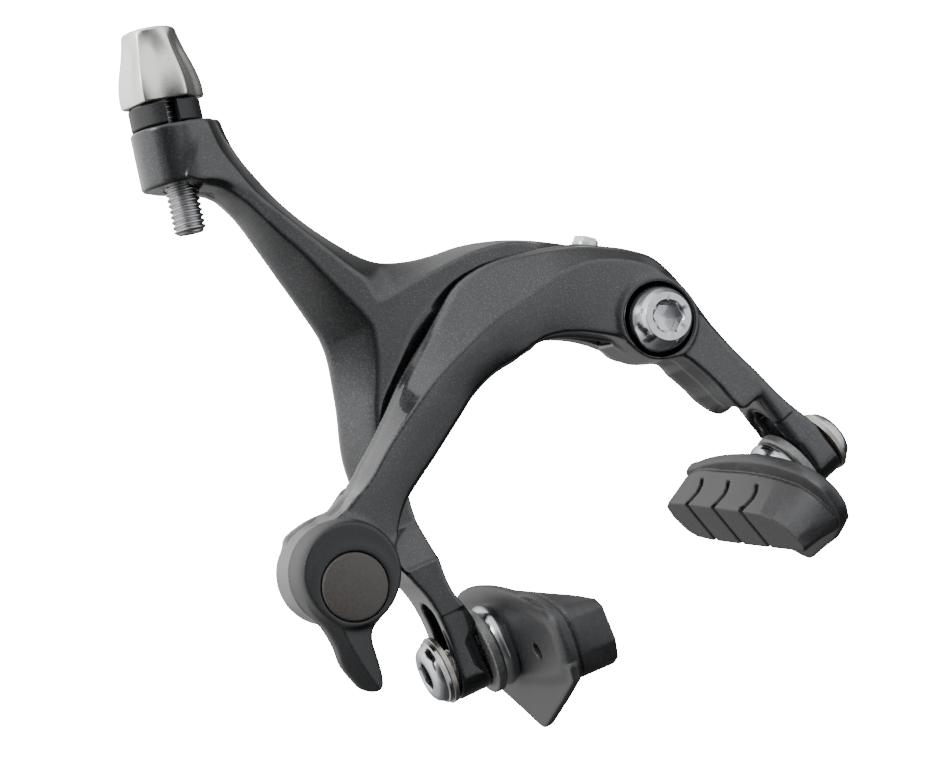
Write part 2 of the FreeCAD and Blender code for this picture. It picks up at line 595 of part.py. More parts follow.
def shoe_stud():
    """Steel stud with the flat plate that the rubber is moulded round."""
    plate_x = SHOE_BACK - 3.5
    stud = rod(V(plate_x, SHOE_Y, -REACH), X_AXIS, M6_R, STUD_END - plate_x)
    plate_t, plate_l, plate_h = 1.5, 30.0, 7.0
    core = Part.makeBox(plate_t, plate_l, plate_h, V(plate_x, SHOE_Y - plate_l / 2, -REACH - plate_h / 2))
    return stud.fuse(core).removeSplitter()


def yz_prism(points, x_from, x_to):
    """Solid between two X planes from a (y, z) polygon."""
    corners = [V(x_from, y, z) for y, z in points]
    return Part.Face(Part.makePolygon(corners + [corners[0]])).extrude(V(x_to - x_from, 0, 0))


def shoe_rubber():
    """Rubber block with a wider back boss and a wheel-guide fin below."""
    y0, z0 = SHOE_Y, -REACH
    nose, tail = y0 - SHOE_FRONT, y0 + SHOE_REAR
    face = [(nose + 4.5, z0 - 5.6), (nose + 4.5, z0 + 3.4), (tail - 1, z0 + 3.4), (tail - 1, z0 - 3.6),
            (tail - 6, z0 - 5.6)]
    body = [(nose, z0 - 6.4), (nose, z0 + 3.2), (nose + 7, z0 + 8.4), (y0 + 8, z0 + 8.8),
            (tail - 7, z0 + 8), (tail, z0 + 5), (tail, z0 - 2.4), (tail - 5, z0 - 6.4),
            (y0 + 8, z0 - 8.2), (y0 - 14, z0 - 8.6)]
    boss = [(y0 - 19, z0 - 3), (y0 - 17, z0 + 4.8), (y0 - 10, z0 + 8.4), (y0 + 6, z0 + 8.6),
            (y0 + 14, z0 + 5.5), (y0 + 14, z0 - 5.5), (y0 + 6, z0 - 8), (y0 - 10, z0 - 8)]
    fin = [(y0 + 18, z0 - 7), (y0 - 22, z0 - 7), (y0 - 10, z0 - 14.6), (y0 - 4, z0 - 17.4),
           (y0 - 1, z0 - 17.9), (y0 + 2, z0 - 17.4), (y0 + 8, z0 - 14.6)]
    front = yz_prism(face, SHOE_FACE, SHOE_FACE + 3.2)
    middle = yz_prism(body, SHOE_FACE + 3.0, SHOE_BACK - 2.4)
    back = yz_prism(boss, SHOE_BACK - 2.6, SHOE_BACK)
    guide = yz_prism(fin, SHOE_BACK - 2.6, SHOE_BACK - 0.4)
    rubber = front.fuse([middle, back, guide]).removeSplitter()
    return rubber.cut(shoe_stud())


def right_side(shape, dip=0.0):
    """Onto the C-arm's foot, nose-down by dip."""
    moved = shape.copy()
    moved.rotate(V(0, SHOE_Y, -REACH), X_AXIS, dip)
    return on_c_arm(moved)


def left_side(shape, dip=0.0):
    """The same piece turned half round, onto the Y-arm's foot."""
    moved = shape.copy()
    moved.rotate(V(0, SHOE_Y, 0), Z_AXIS, 180)
    moved.rotate(V(0, SHOE_Y, -REACH), X_AXIS, dip)
    return on_y_arm(moved)


# ---------------------------------------------------------------- write the nodes
nodes = {
    "centre_bolt": centre_bolt(),
    "serrated_washer": serrated_washer(),
    "pivot_bracket": pivot_bracket(),
    "side_pivot_pin": side_pivot_pin(),
    "side_pivot_bolt": side_pivot_bolt(),
    "side_pivot_washers": side_pivot_washers(),
    "centre_lock_nut": centre_lock_nut(),
    "spring_holder": spring_holder(),
    "return_spring": return_spring(),
    "y_arm": on_y_arm(y_arm()).cut(slider_plug(*LEFT_SLIDER)),
    "centre_bush": on_y_arm(centre_bush()),
    "centring_screw": on_y_arm(centring_screw()),
    "left_spring_slider": spring_slider(*LEFT_SLIDER),
    "adjuster_bolt": on_y_arm(adjuster_bolt()),
    "adjuster_collar": on_y_arm(adjuster_collar()),
    "adjuster_cap": on_y_arm(adjuster_cap()),
    "c_arm": on_c_arm(c_arm()).cut(slider_plug(*RIGHT_SLIDER)),
    "side_pivot_bush": on_c_arm(side_pivot_bush()),
    "right_spring_slider": spring_slider(*RIGHT_SLIDER),
    "quick_release_lever": on_c_arm(quick_release_lever()),
    "quick_release_cap": on_c_arm(quick_release_cap()),
    "quick_release_cam": on_c_arm(quick_release_cam()),
    "anchor_block": on_c_arm(anchor_block()),
    "anchor_plate": on_c_arm(anchor_plate()),
    "anchor_bolt": on_c_arm(anchor_bolt()),
}
for name, side in (("left", left_side), ("right", right_side)):
    dip = SHOE_DIPS[name]
    nodes[name + "_flat_washer"] = side(flat_washer())
    nodes[name + "_dished_washer"] = side(dished_washer())
    nodes[name + "_convex_washer"] = side(convex_washer(), dip)
    nodes[name + "_cap_nut"] = side(cap_nut())
    nodes[name + "_shoe_stud"] = side(shoe_stud(), dip)
    nodes[name + "_shoe_rubber"] = side(shoe_rubber(), dip)

os.makedirs("parts", exist_ok=True)
for name, shape in nodes.items():
    shape.exportStep("parts/" + name + ".step")
    print(name, shape.isValid(), len(shape.Solids), round(shape.Volume, 1))
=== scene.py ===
import itertools
import json
import math

import bmesh
import bpy
import numpy as np
from mathutils import Matrix, Vector


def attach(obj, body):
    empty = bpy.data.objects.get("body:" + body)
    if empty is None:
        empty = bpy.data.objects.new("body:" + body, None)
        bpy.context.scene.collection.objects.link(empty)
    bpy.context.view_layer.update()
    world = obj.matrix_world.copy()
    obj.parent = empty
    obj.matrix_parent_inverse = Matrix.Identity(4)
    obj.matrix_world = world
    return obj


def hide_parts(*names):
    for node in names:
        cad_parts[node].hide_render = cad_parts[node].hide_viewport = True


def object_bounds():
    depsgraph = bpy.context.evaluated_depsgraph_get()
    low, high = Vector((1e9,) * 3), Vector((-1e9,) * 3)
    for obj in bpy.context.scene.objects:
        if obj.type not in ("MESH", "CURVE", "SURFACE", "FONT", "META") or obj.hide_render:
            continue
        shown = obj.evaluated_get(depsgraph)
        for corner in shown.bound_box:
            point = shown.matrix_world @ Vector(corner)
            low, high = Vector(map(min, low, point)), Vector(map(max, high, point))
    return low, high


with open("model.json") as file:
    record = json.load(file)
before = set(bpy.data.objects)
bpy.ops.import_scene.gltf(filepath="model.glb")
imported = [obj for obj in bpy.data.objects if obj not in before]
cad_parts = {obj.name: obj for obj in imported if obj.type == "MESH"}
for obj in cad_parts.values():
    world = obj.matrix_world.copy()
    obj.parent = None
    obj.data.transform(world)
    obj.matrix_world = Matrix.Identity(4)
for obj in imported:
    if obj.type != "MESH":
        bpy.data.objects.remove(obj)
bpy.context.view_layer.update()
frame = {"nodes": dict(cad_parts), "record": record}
nodes = frame["nodes"]
joints = {j["name"]: j for j in frame["record"]["behaviour"]["joints"]}
MM = 0.001

# ---------------------------------------------------------------- places in each arm's upright position, mm
REACH = 53.7                            # shoe bolts below the centre bolt, at the bottom of their slots
SLOT_TOP = -REACH + 9.0                 # shoe bolts at the top of their slots
SLOT_R = 3.15                           # half the width of a slot
SHOE_Y = -12.7                          # shoe bolts, from the rear mounting face
DIPS = {"left": 2.5, "right": 5.5}      # how far each shoe's front end dips, degrees
FOOT_OUT, FOOT_IN = 37.2, 30.25         # outer and inner faces of the feet, from the middle
QR = (-53.85, -10.35)                   # axis of the quick release, x and z
NOMINAL_SIDE = (23.75, -13.5)           # axis of the side pivot, x and z
HEAD_TILT = math.radians(10.5)
ADJ = (math.sin(HEAD_TILT), 0.0, math.cos(HEAD_TILT))
HEAD_AT = (-45.3, -9.0, 55.3)           # top of the adjuster's head, on the adjuster's axis
SCREW_TILT = math.radians(34)
SCREW_AXIS = (math.sin(SCREW_TILT), 0, math.cos(SCREW_TILT))
SCREW_AT = (20.4, -10.3, 6.9)           # seat of the centring screw's head
Y_ARM_FACE, Y_ARM_BACK = -13.2, -6.2    # front and rear of the Y-arm's middle
FOOT_FACE = -18.4                       # front of both feet
QR_FLOOR = -15.0                        # y where the cam's bore meets the anchor's slot
LEVER_FACE, DISC_FLOOR = -28.6, -27.4   # front of the lever, and of the recess for its disc
DISC_AT = (QR[0] - 1.15, QR[1] - 2.15)  # middle of the lever's disc, x and z
DISC_R = 5.93
side_axis = joints["c_arm_pivot"]["pos_m"]
SIDE = (side_axis[0] / MM, side_axis[2] / MM)


def lean(name):
    """Angle about +Y that a shoe's slide leans from upright."""
    axis = joints[name]["axis"]
    return math.atan2(axis[0], axis[2])


Y_TURN = lean("left_shoe_height")
C_TURN = lean("right_shoe_height")


def about_y(angle, x=0.0, z=0.0):
    """Turn about an axis along Y, positive clockwise seen from the front."""
    move = Matrix.Translation((x, 0, z))
    return move @ Matrix.Rotation(angle, 4, "Y") @ move.inverted()


ON_Y = about_y(Y_TURN)
ON_C = about_y(C_TURN, *SIDE)
STILL = Matrix.Identity(4)


# ---------------------------------------------------------------- materials
def node(tree, kind, **values):
    made = tree.nodes.new(kind)
    for key, value in values.items():
        if key in made.inputs:
            made.inputs[key].default_value = value
        else:
            setattr(made, key, value)
    return made


def material(name, dark, light, rough, metal=0.0, grain=900.0, bump=0.02, coat=0.0, coat_rough=0.1,
             stretch=(1, 1, 1), flake=0.0, spec=0.5, rough_swing=0.12):
    """Two close tones in a fine grain, with roughness and relief from the same grain."""
    made = bpy.data.materials.new(name)
    made.use_nodes = True
    tree = made.node_tree
    shader = tree.nodes["Principled BSDF"]
    place = node(tree, "ShaderNodeTexCoord")
    scale = node(tree, "ShaderNodeMapping")
    scale.inputs["Scale"].default_value = stretch
    tree.links.new(place.outputs["Object"], scale.inputs["Vector"])
    fine = node(tree, "ShaderNodeTexNoise", Scale=grain, Detail=3.0, Roughness=0.6)
    broad = node(tree, "ShaderNodeTexNoise", Scale=grain / 14, Detail=2.0, Roughness=0.5)
    tree.links.new(scale.outputs["Vector"], fine.inputs["Vector"])
    tree.links.new(scale.outputs["Vector"], broad.inputs["Vector"])
    both = node(tree, "ShaderNodeMath", operation="MULTIPLY_ADD")
    both.inputs[1].default_value = 0.7
    tree.links.new(fine.outputs["Fac"], both.inputs[0])
    part = node(tree, "ShaderNodeMath", operation="MULTIPLY")
    part.inputs[1].default_value = 0.3
    tree.links.new(broad.outputs["Fac"], part.inputs[0])
    tree.links.new(part.outputs[0], both.inputs[2])
    ramp = node(tree, "ShaderNodeValToRGB")
    ramp.color_ramp.elements[0].position = 0.36
    ramp.color_ramp.elements[0].color = (*dark, 1)
    ramp.color_ramp.elements[1].position = 0.66
    ramp.color_ramp.elements[1].color = (*light, 1)
    tree.links.new(both.outputs[0], ramp.inputs["Fac"])
    colour = ramp.outputs["Color"]
    if flake:
        cells = node(tree, "ShaderNodeTexVoronoi", Scale=grain * 3.2)
        tree.links.new(place.outputs["Object"], cells.inputs["Vector"])
        pick = node(tree, "ShaderNodeValToRGB")
        pick.color_ramp.elements[0].position = 0.72
        pick.color_ramp.elements[0].color = (0, 0, 0, 1)
        pick.color_ramp.elements[1].position = 0.95
        pick.color_ramp.elements[1].color = (flake, flake, flake * 1.06, 1)
        tree.links.new(cells.outputs["Color"], pick.inputs["Fac"])
        add = node(tree, "ShaderNodeMix", data_type="RGBA", blend_type="ADD")
        add.inputs["Factor"].default_value = 1.0
        tree.links.new(colour, add.inputs["A"])
        tree.links.new(pick.outputs["Color"], add.inputs["B"])
        colour = add.outputs["Result"]
    tree.links.new(colour, shader.inputs["Base Color"])
    swing = node(tree, "ShaderNodeMapRange")
    swing.inputs["To Min"].default_value = max(0.02, rough - rough_swing)
    swing.inputs["To Max"].default_value = min(1.0, rough + rough_swing)
    tree.links.new(both.outputs[0], swing.inputs["Value"])
    tree.links.new(swing.outputs["Result"], shader.inputs["Roughness"])
    relief = node(tree, "ShaderNodeBump", Strength=0.6, Distance=bump * MM)
    tree.links.new(both.outputs[0], relief.inputs["Height"])
    tree.links.new(relief.outputs["Normal"], shader.inputs["Normal"])
    shader.inputs["Metallic"].default_value = metal
    shader.inputs["Coat Weight"].default_value = coat
    shader.inputs["Coat Roughness"].default_value = coat_rough
    shader.inputs["Specular IOR Level"].default_value = spec
    return made


PAINT = material("charcoal_paint", (0.013, 0.0137, 0.0150), (0.026, 0.0272, 0.0295), 0.31, metal=0.70,
                 grain=1900, bump=0.003, coat=1.0, coat_rough=0.05, flake=0.05, spec=0.5)
ZINC = material("zinc_plate", (0.40, 0.40, 0.41), (0.50, 0.50, 0.51), 0.33, metal=1.0, grain=1100,
                bump=0.004, rough_swing=0.05)
POLISHED = material("polished_steel", (0.44, 0.45, 0.47), (0.53, 0.54, 0.56), 0.15, metal=1.0, grain=700,
                    bump=0.001, rough_swing=0.02)
SATIN = material("satin_aluminium", (0.70, 0.69, 0.65), (0.78, 0.77, 0.73), 0.27, metal=1.0, grain=1100,
                 bump=0.004, rough_swing=0.06)
WASHER = material("warm_washer_steel", (0.34, 0.32, 0.29), (0.52, 0.49, 0.45), 0.40, metal=1.0, grain=900,
                  bump=0.02)
DULL = material("dull_washer_steel", (0.17, 0.17, 0.17), (0.27, 0.27, 0.265), 0.58, metal=0.9, grain=1200,
                bump=0.025)
BLACK = material("black_plastic", (0.007, 0.007, 0.008), (0.013, 0.013, 0.014), 0.40, grain=1400, bump=0.02,
                 spec=0.45)
LEVER = material("lever_plastic", (0.011, 0.011, 0.012), (0.018, 0.018, 0.019), 0.40, grain=2200,
                 bump=0.012, spec=0.45)
DISC = material("brown_grey_disc", (0.034, 0.030, 0.026), (0.050, 0.045, 0.040), 0.46, metal=0.1,
                grain=1700, bump=0.012, coat=0.1)
RUBBER = material("moulded_rubber", (0.015, 0.015, 0.016), (0.028, 0.028, 0.030), 0.45, grain=1700,
                  bump=0.03, spec=0.55)
CLEAR = material("clear_plating", (0.50, 0.51, 0.50), (0.62, 0.63, 0.61), 0.22, metal=0.6, grain=900,
                 bump=0.002, coat=0.8)
BRONZE = material("bush_bronze", (0.36, 0.25, 0.12), (0.50, 0.36, 0.19), 0.40, metal=1.0, grain=900,
                  bump=0.01)
SPRING = material("spring_wire", (0.20, 0.20, 0.21), (0.28, 0.28, 0.29), 0.38, metal=1.0, grain=900,
                  bump=0.01, stretch=(1, 6, 1))


# ---------------------------------------------------------------- meshes
def add_mesh(name, verts, faces, place, body, paint, stands_for=(), smooth=None, bevel=0.0):
    """A mesh in mm, put in place and ridden on its body.

    smooth is the largest angle shaded smooth, in degrees, and bevel the width of its rounded edges.
    """
    mesh = bpy.data.meshes.new(name)
    turn = np.array(place)
    verts = np.asarray(verts, float) @ turn[:3, :3].T + turn[:3, 3]
    mesh.from_pydata((verts * MM).tolist(), [], faces if isinstance(faces, list) else faces.tolist())
    mesh.polygons.foreach_set("use_smooth", [True] * len(mesh.polygons))
    if smooth is not None:
        work = bmesh.new()
        work.from_mesh(mesh)
        for edge in work.edges:
            if len(edge.link_faces) == 2:
                edge.smooth = edge.calc_face_angle(0.0) < math.radians(smooth)
        work.to_mesh(mesh)
        work.free()
    mesh.update()
    made = bpy.data.objects.new(name, mesh)
    bpy.context.scene.collection.objects.link(made)
    mesh.materials.append(paint)
    if bevel:
        round_off(made, bevel)
    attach(made, body)
    if stands_for:
        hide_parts(*stands_for)
    return made


def round_off(made, width):
    """Small rounded edges that catch the light."""
    cut = made.modifiers.new("edges", "BEVEL")
    cut.width = width * MM
    cut.segments = 2
    cut.limit_method = "ANGLE"
    cut.angle_limit = math.radians(38)
    cut.harden_normals = True


def smax(a, b, k):
    """Larger of two fields, blended over k."""
    h = np.clip(0.5 + 0.5 * (a - b) / k, 0, 1)
    return b + (a - b) * h + k * h * (1 - h)


def smin(a, b, k):
    return -smax(-a, -b, k)


def surface_net(field, low, step):
    """Vertices and quads where a sampled field, negative inside, changes sign."""
    inside = field < 0
    size = np.array(field.shape)
    count = np.zeros(size - 1, np.int8)
    for shift in itertools.product((0, 1), repeat=3):
        window = tuple(slice(s, n - 1 + s) for s, n in zip(shift, size))
        count += inside[window]
    active = (count > 0) & (count < 8)
    index = np.full(active.shape, -1, np.int64)
    index[active] = np.arange(active.sum())
    cells = np.argwhere(active)
    total = np.zeros((len(cells), 3))
    number = np.zeros(len(cells))
    for axis in range(3):
        for u, v in itertools.product((0, 1), repeat=2):
            start = np.zeros(3, int)
            start[(axis + 1) % 3] = u
            start[(axis + 2) % 3] = v
            end = start.copy()
            end[axis] = 1
            first = field[tuple((cells + start).T)]
            last = field[tuple((cells + end).T)]
            cross = (first < 0) != (last < 0)
            share = np.where(cross, first / np.where(cross, first - last, 1), 0)
            point = start + share[:, None] * (end - start)
            total += np.where(cross[:, None], point, 0)
            number += cross
    verts = low + step * (cells + total / number[:, None])
    quads = []
    for axis in range(3):
        ahead = [slice(None)] * 3
        behind = [slice(None)] * 3
        ahead[axis] = slice(1, None)
        behind[axis] = slice(0, -1)
        a, b = inside[tuple(behind)], inside[tuple(ahead)]
        u, v = (axis + 1) % 3, (axis + 2) % 3
        spots = np.argwhere(a != b)
        keep = (spots[:, u] > 0) & (spots[:, v] > 0)
        keep &= (spots[:, u] < size[u] - 1) & (spots[:, v] < size[v] - 1)
        spots = spots[keep]
        out = a[tuple(spots.T)]
        ring = []
        for du, dv in ((-1, -1), (0, -1), (0, 0), (-1, 0)):
            cell = spots.copy()
            cell[:, u] += du
            cell[:, v] += dv
            ring.append(index[tuple(cell.T)])
        ring = np.stack(ring, 1)
        ring[~out] = ring[~out][:, ::-1]
        quads.append(ring)
    return verts, np.concatenate(quads)


def relax(verts, quads, rounds=2):
    """Light Taubin smoothing."""
    pairs = np.concatenate([quads[:, [i, (i + 1) % 4]] for i in range(4)])
    pairs = np.concatenate([pairs, pairs[:, ::-1]])
    degree = np.bincount(pairs[:, 0], minlength=len(verts))[:, None]
    for _ in range(rounds):
        for factor in (0.5, -0.52):
            sums = [np.bincount(pairs[:, 0], verts[pairs[:, 1], c], len(verts)) for c in range(3)]
            verts = verts + factor * (np.stack(sums, 1) / degree - verts)
    return verts


class Curve:
    """Smooth line through (x, z) or (x, z, depth) points in the plane of an arm.

    straight keeps the corners, and reach lengthens both ends.
    """

    def __init__(self, points, closed=False, step=0.9, straight=False, reach=0.0):
        points = np.array(points, float)
        if closed:
            points = np.vstack([points, points[:1]])
        if straight:
            self.line = points
        else:
            self.line = self.smooth(points, closed, step)
        if reach:
            first = self.line[0] - self.line[1]
            last = self.line[-1] - self.line[-2]
            first[2:] = last[2:] = 0
            start = self.line[0] + first / np.linalg.norm(first[:2]) * reach
            end = self.line[-1] + last / np.linalg.norm(last[:2]) * reach
            self.line = np.vstack([start, self.line, end])

    @staticmethod
    def smooth(points, closed, step):
        before = points[-2] if closed else 2 * points[0] - points[1]
        after = points[1] if closed else 2 * points[-1] - points[-2]
        ext = np.vstack([before, points, after])
        out = []
        for i in range(1, len(ext) - 2):
            p0, p1, p2, p3 = ext[i - 1:i + 3]
            chord = [max(np.linalg.norm((b - a)[:2]), 1e-6) for a, b in ((p0, p1), (p1, p2), (p2, p3))]
            m1 = ((p1 - p0) / chord[0] - (p2 - p0) / (chord[0] + chord[1]) + (p2 - p1) / chord[1]) * chord[1]
            m2 = ((p2 - p1) / chord[1] - (p3 - p1) / (chord[1] + chord[2]) + (p3 - p2) / chord[2]) * chord[1]
            number = max(1, int(math.ceil(chord[1] / step)))
            for t in np.arange(number) / number:
                out.append((2 * t**3 - 3 * t**2 + 1) * p1 + (t**3 - 2 * t**2 + t) * m1
                           + (-2 * t**3 + 3 * t**2) * p2 + (t**3 - t**2) * m2)
        out.append(ext[-2])
        return np.array(out)

    def nearest(self, x, z):
        """Distance, side (positive on the left of the line's direction) and depth at the nearest point."""
        best = np.full(x.shape, 1e9)
        side = np.zeros(x.shape)
        depth = np.zeros(x.shape)
        for a, b in zip(self.line, self.line[1:]):
            d = b - a
            t = np.clip(((x - a[0]) * d[0] + (z - a[1]) * d[1]) / (d[0] ** 2 + d[1] ** 2 + 1e-12), 0, 1)
            gap = (x - a[0] - t * d[0]) ** 2 + (z - a[1] - t * d[1]) ** 2
            near = gap < best
            best = np.where(near, gap, best)
            cross = d[0] * (z - a[1]) - d[1] * (x - a[0])
            side = np.where(near, np.sign(cross), side)
            if len(a) > 2:
                depth = np.where(near, a[2] + t * d[2], depth)
        return np.sqrt(best), side, depth

    def within(self, x, z):
        """Signed distance to a closed line, negative inside."""
        distance = self.nearest(x, z)[0]
        odd = np.zeros(x.shape, bool)
        for a, b in zip(self.line, self.line[1:]):
            if a[1] == b[1]:
                continue
            spans = (a[1] > z) != (b[1] > z)
            odd ^= spans & (x < a[0] + (z - a[1]) / (b[1] - a[1]) * (b[0] - a[0]))
        return np.where(odd, -distance, distance)


class Grid:
    """Sample points of a box, mm. Fields on it are rough distances, negative inside the shape."""

    def __init__(self, low, high, step):
        self.low = np.array(low, float)
        self.step = step
        axes = [np.arange(a, b + step, step) for a, b in zip(low, high)]
        self.x = axes[0][:, None, None]
        self.y = axes[1][None, :, None]
        self.z = axes[2][None, None, :]
        self.flat_x, self.flat_z = np.meshgrid(axes[0], axes[2], indexing="ij")

    def spread(self, flat):
        """A field of x and z alone, for every y."""
        return flat[:, None, :]

    def mesh(self, field, rounds=2):
        full = np.broadcast_to(field, (self.x.shape[0], self.y.shape[1], self.z.shape[2]))
        verts, quads = surface_net(full, self.low, self.step)
        return relax(verts, quads, rounds), quads


def round_y(g, x, z, radius):
    return np.hypot(g.x - x, g.z - z) - radius


def capsule_y(g, x, z_low, z_high, radius):
    rise = g.z - np.clip(g.z, z_low, z_high)
    return np.hypot(g.x - x, rise) - radius


def capsule_x(g, y, z_low, z_high, radius):
    rise = g.z - np.clip(g.z, z_low, z_high)
    return np.hypot(g.y - y, rise) - radius


def slab(value, low, high):
    """Signed distance to a band of values."""
    return np.maximum(low - value, value - high)


# ---------------------------------------------------------------- C-arm
# outer edge, crease between bevel and front, and inner edge, as (x, z, y)
C_OUTER = [(-55.4, -1.5, -15.5), (-50.2, -1.9, -15.5), (-46.8, -2.6, -15.5), (-43, -1.5, -15.5),
           (-38.5, .6, -15.5), (-33.8, 2.5, -15.5), (-28.1, 4.9, -15.5), (-22.3, 7.6, -15.5),
           (-17.7, 9.3, -15.5), (-13.2, 10.8, -15.5), (-8.5, 12.6, -15.5), (-2.4, 14.6, -15.5),
           (2.2, 14.5, -15.5), (7.1, 13.3, -15.6), (12.2, 11.2, -15.8), (17.1, 8.7, -16), (21, 6.3, -16.3),
           (25.4, 2.5, -16.8), (28.5, -.5, -17.2), (30.9, -3.7, -17.5), (32, -8, -17.7), (32.3, -14, -17.7),
           (32.2, -20, -17.7), (32.8, -27.5, -17.7), (33.8, -33.7, -17.7), (34.9, -41.3, -17.7),
           (36.6, -48, -17.7), (37.2, -52, -17.7), (37.2, -60, -17.7), (37.2, -66, -17.7)]
C_CREASE = [(-58, -2.2, -20), (-48.1, -2.4, -20), (-44.8, -2.1, -20), (-41.4, -1.8, -20),
            (-38.5, -1.2, -20), (-36.2, -.3, -20), (-32.5, 1.1, -20), (-29.6, 2.0, -20), (-26.3, 2.9, -20),
            (-22.6, 3.8, -20), (-17.9, 4.8, -20), (-13.3, 5.4, -20), (-8.8, 5.8, -20), (-4.5, 6.1, -20),
            (-.3, 6.1, -20), (4.7, 5.6, -20), (10.3, 5.3, -20), (15.5, 4.5, -20), (19.4, 3.2, -20),
            (24.1, .1, -20), (27.6, -3.6, -19.9), (29.9, -8, -19.5), (31, -14, -19), (31, -20, -18.7),
            (31.6, -27.5, -18.5), (32.6, -33.7, -18.4), (33.7, -41.3, -18.4), (35.5, -48, -18.4),
            (36.1, -52, -18.4), (36.1, -66, -18.4)]
C_INNER = [(30.6, -66, -18.4), (30.25, -57.9, -18.4), (29.9, -55.1, -18.4), (28.4, -49.5, -18.4),
           (27.5, -41, -18.4), (26, -34.9, -18.4), (25.5, -29.6, -18.6), (24.5, -25, -18.8),
           (23.5, -22, -19), (21.2, -19.6, -19.2), (17.5, -15, -19.5), (14.9, -10.9, -19.6),
           (12.3, -8.1, -19.6), (9.5, -5.5, -19.5), (4.1, -2.5, -19), (-2, -2.1, -18), (-6.6, -1.5, -17.3),
           (-11.9, -1.9, -17), (-18.4, -3.8, -17), (-25.6, -6, -17), (-32, -7.8, -17), (-34.7, -8.7, -17),
           (-37.8, -10.4, -17), (-41.1, -13, -17), (-43.5, -14.9, -17), (-48, -20, -17)]


SIDE_HUB_R, SIDE_POCKET_R, SIDE_BORE_R = 7.6, 7.0, 5.2
BOSS_R, CAM_BORE_R, ANCHOR_SLOT_R = 9.4, 5.05, 4.15
ARCH_BACK, NECK_SWEEP = -13.9, 3.2      # rear of the arch, and how far behind that its neck reaches
DRAFT, FLARE = 0.9, 1.5                 # widening of the walls behind the front, and of the leg's inner wall
FOOT_ROLL = 3.4                         # rounding of the feet's front inner edges
WASHER_ROOM = 8.2                       # radius of the hollow beside the right leg for the shoe's washers


def rounded_foot(g, body, foot, past_inside):
    """From just above its slot down, a leg has a rounded foot and a rolled-over front inner edge."""
    rolled = smax(past_inside, FOOT_FACE - g.y, FOOT_ROLL) - FOOT_ROLL * np.clip((g.z + 50) / 6, 0, 1)
    return np.where(g.z < -44, smax(smax(body, foot, 0.8), rolled, 0.5), body)


def build_c_arm():
    """Front arm: boss, arch with a bevelled upper edge, side pivot's hub and right leg."""
    g = Grid((-65.5, -21.4, -62), (39, -4.6, 17), 0.33)
    x, z = g.flat_x, g.flat_z
    outer = Curve(C_OUTER)
    crease = Curve(C_CREASE)
    inner = Curve(C_INNER)
    ring = Curve(np.vstack([outer.line, inner.line]), closed=True, straight=True)
    outline = ring.within(x, z)
    d_outer, s_outer, y_outer = outer.nearest(x, z)
    d_crease, s_crease, y_crease = crease.nearest(x, z)
    d_inner, s_inner, y_inner = inner.nearest(x, z)
    up = s_crease > 0
    beyond = np.where(s_outer > 0, -d_outer, d_outer)
    width = np.maximum(d_crease + beyond, 0.6)
    bevel = y_crease + (y_outer - y_crease) * np.clip(d_crease / width, 0, 1.6)
    past = np.where(s_inner > 0, d_inner, -d_inner)
    reach = np.maximum(d_crease - np.minimum(past, 0), 0.6)
    pad = y_crease + (y_inner - y_crease) * np.clip(d_crease / reach, 0, 1.3) ** 1.5
    front = np.where(up, bevel, pad)
    # draft: the wall stands further out behind its front edge
    draft = np.clip((g.y + 15.5) / 1.6, 0, 1) * DRAFT * g.spread(np.clip((z + 16) / 6, 0, 1))
    inside_leg = np.clip((z + 19) / -6, 0, 1) * np.clip((z + 39) / 7, 0, 1)
    inside_leg = inside_leg * np.clip((d_outer - d_inner) / 3 + 0.5, 0, 1)
    flare = np.clip((g.y + 17.8) / 9, 0, 1) * FLARE * g.spread(inside_leg)
    wall = g.spread(outline) - draft - flare
    face = g.spread(front) - g.y
    leg_zone = g.spread(np.clip((z + 12.5) / 3.0, -1, 1)) * 4
    neck = np.clip((-39.0 - x) / 6.0, 0, 1)
    back_arch = g.y - ARCH_BACK - NECK_SWEEP * g.spread(neck * neck * (3 - 2 * neck))
    arch = smax(smax(wall, face, 0.7), back_arch, 0.7)
    leg_back = np.maximum(g.y - Y_ARM_BACK, leg_zone)
    leg = smax(smax(wall, face, 0.7), leg_back, 0.9)
    hub = smax(round_y(g, *NOMINAL_SIDE, SIDE_HUB_R), slab(g.y, -19.4, -6.15), 0.5)
    boss = smax(round_y(g, *QR, BOSS_R), slab(g.y, -20.6, -10.5), 0.9)
    # the centring screw's tip pushes on this lug
    lug = smax(round_y(g, 16.8, -7.0, 2.4), slab(g.y, -14.9, -8.2), 0.4)
    body = smin(smin(arch, leg, 0.8), hub, 1.6)
    body = smin(body, boss, 1.8)
    body = smin(body, lug, 0.8)
    foot = capsule_x(g, -12.25, -REACH, 40, 6.15)
    body = rounded_foot(g, body, foot, FOOT_IN - g.x)
    pocket = smax(round_y(g, *NOMINAL_SIDE, SIDE_POCKET_R), g.y + 18.05, 0.3)
    body = smax(body, -pocket, 0.5)
    body = smax(body, -round_y(g, *NOMINAL_SIDE, SIDE_BORE_R), 0.25)
    body = smax(body, -np.maximum(round_y(g, *QR, CAM_BORE_R), g.y - QR_FLOOR), 0.25)
    anchor_slot = capsule_y(g, QR[0], QR[1], QR[1] + 3.0, ANCHOR_SLOT_R)
    body = smax(body, -np.maximum(anchor_slot, QR_FLOOR - g.y), 0.25)
    low = g.z < -30
    slot = np.maximum(capsule_x(g, SHOE_Y, -REACH, SLOT_TOP, SLOT_R), 22 - g.x)
    # room beside the leg for the shoe's washers, up to the top of the slot
    relief = capsule_x(g, SHOE_Y, -REACH, SLOT_TOP, WASHER_ROOM)
    relief = np.maximum(relief, slab(g.x, FOOT_IN - 9.0, FOOT_IN))
    body = np.where(low, smax(smax(body, -slot, 0.4), -relief, 2.4), body)
    return g.mesh(body)


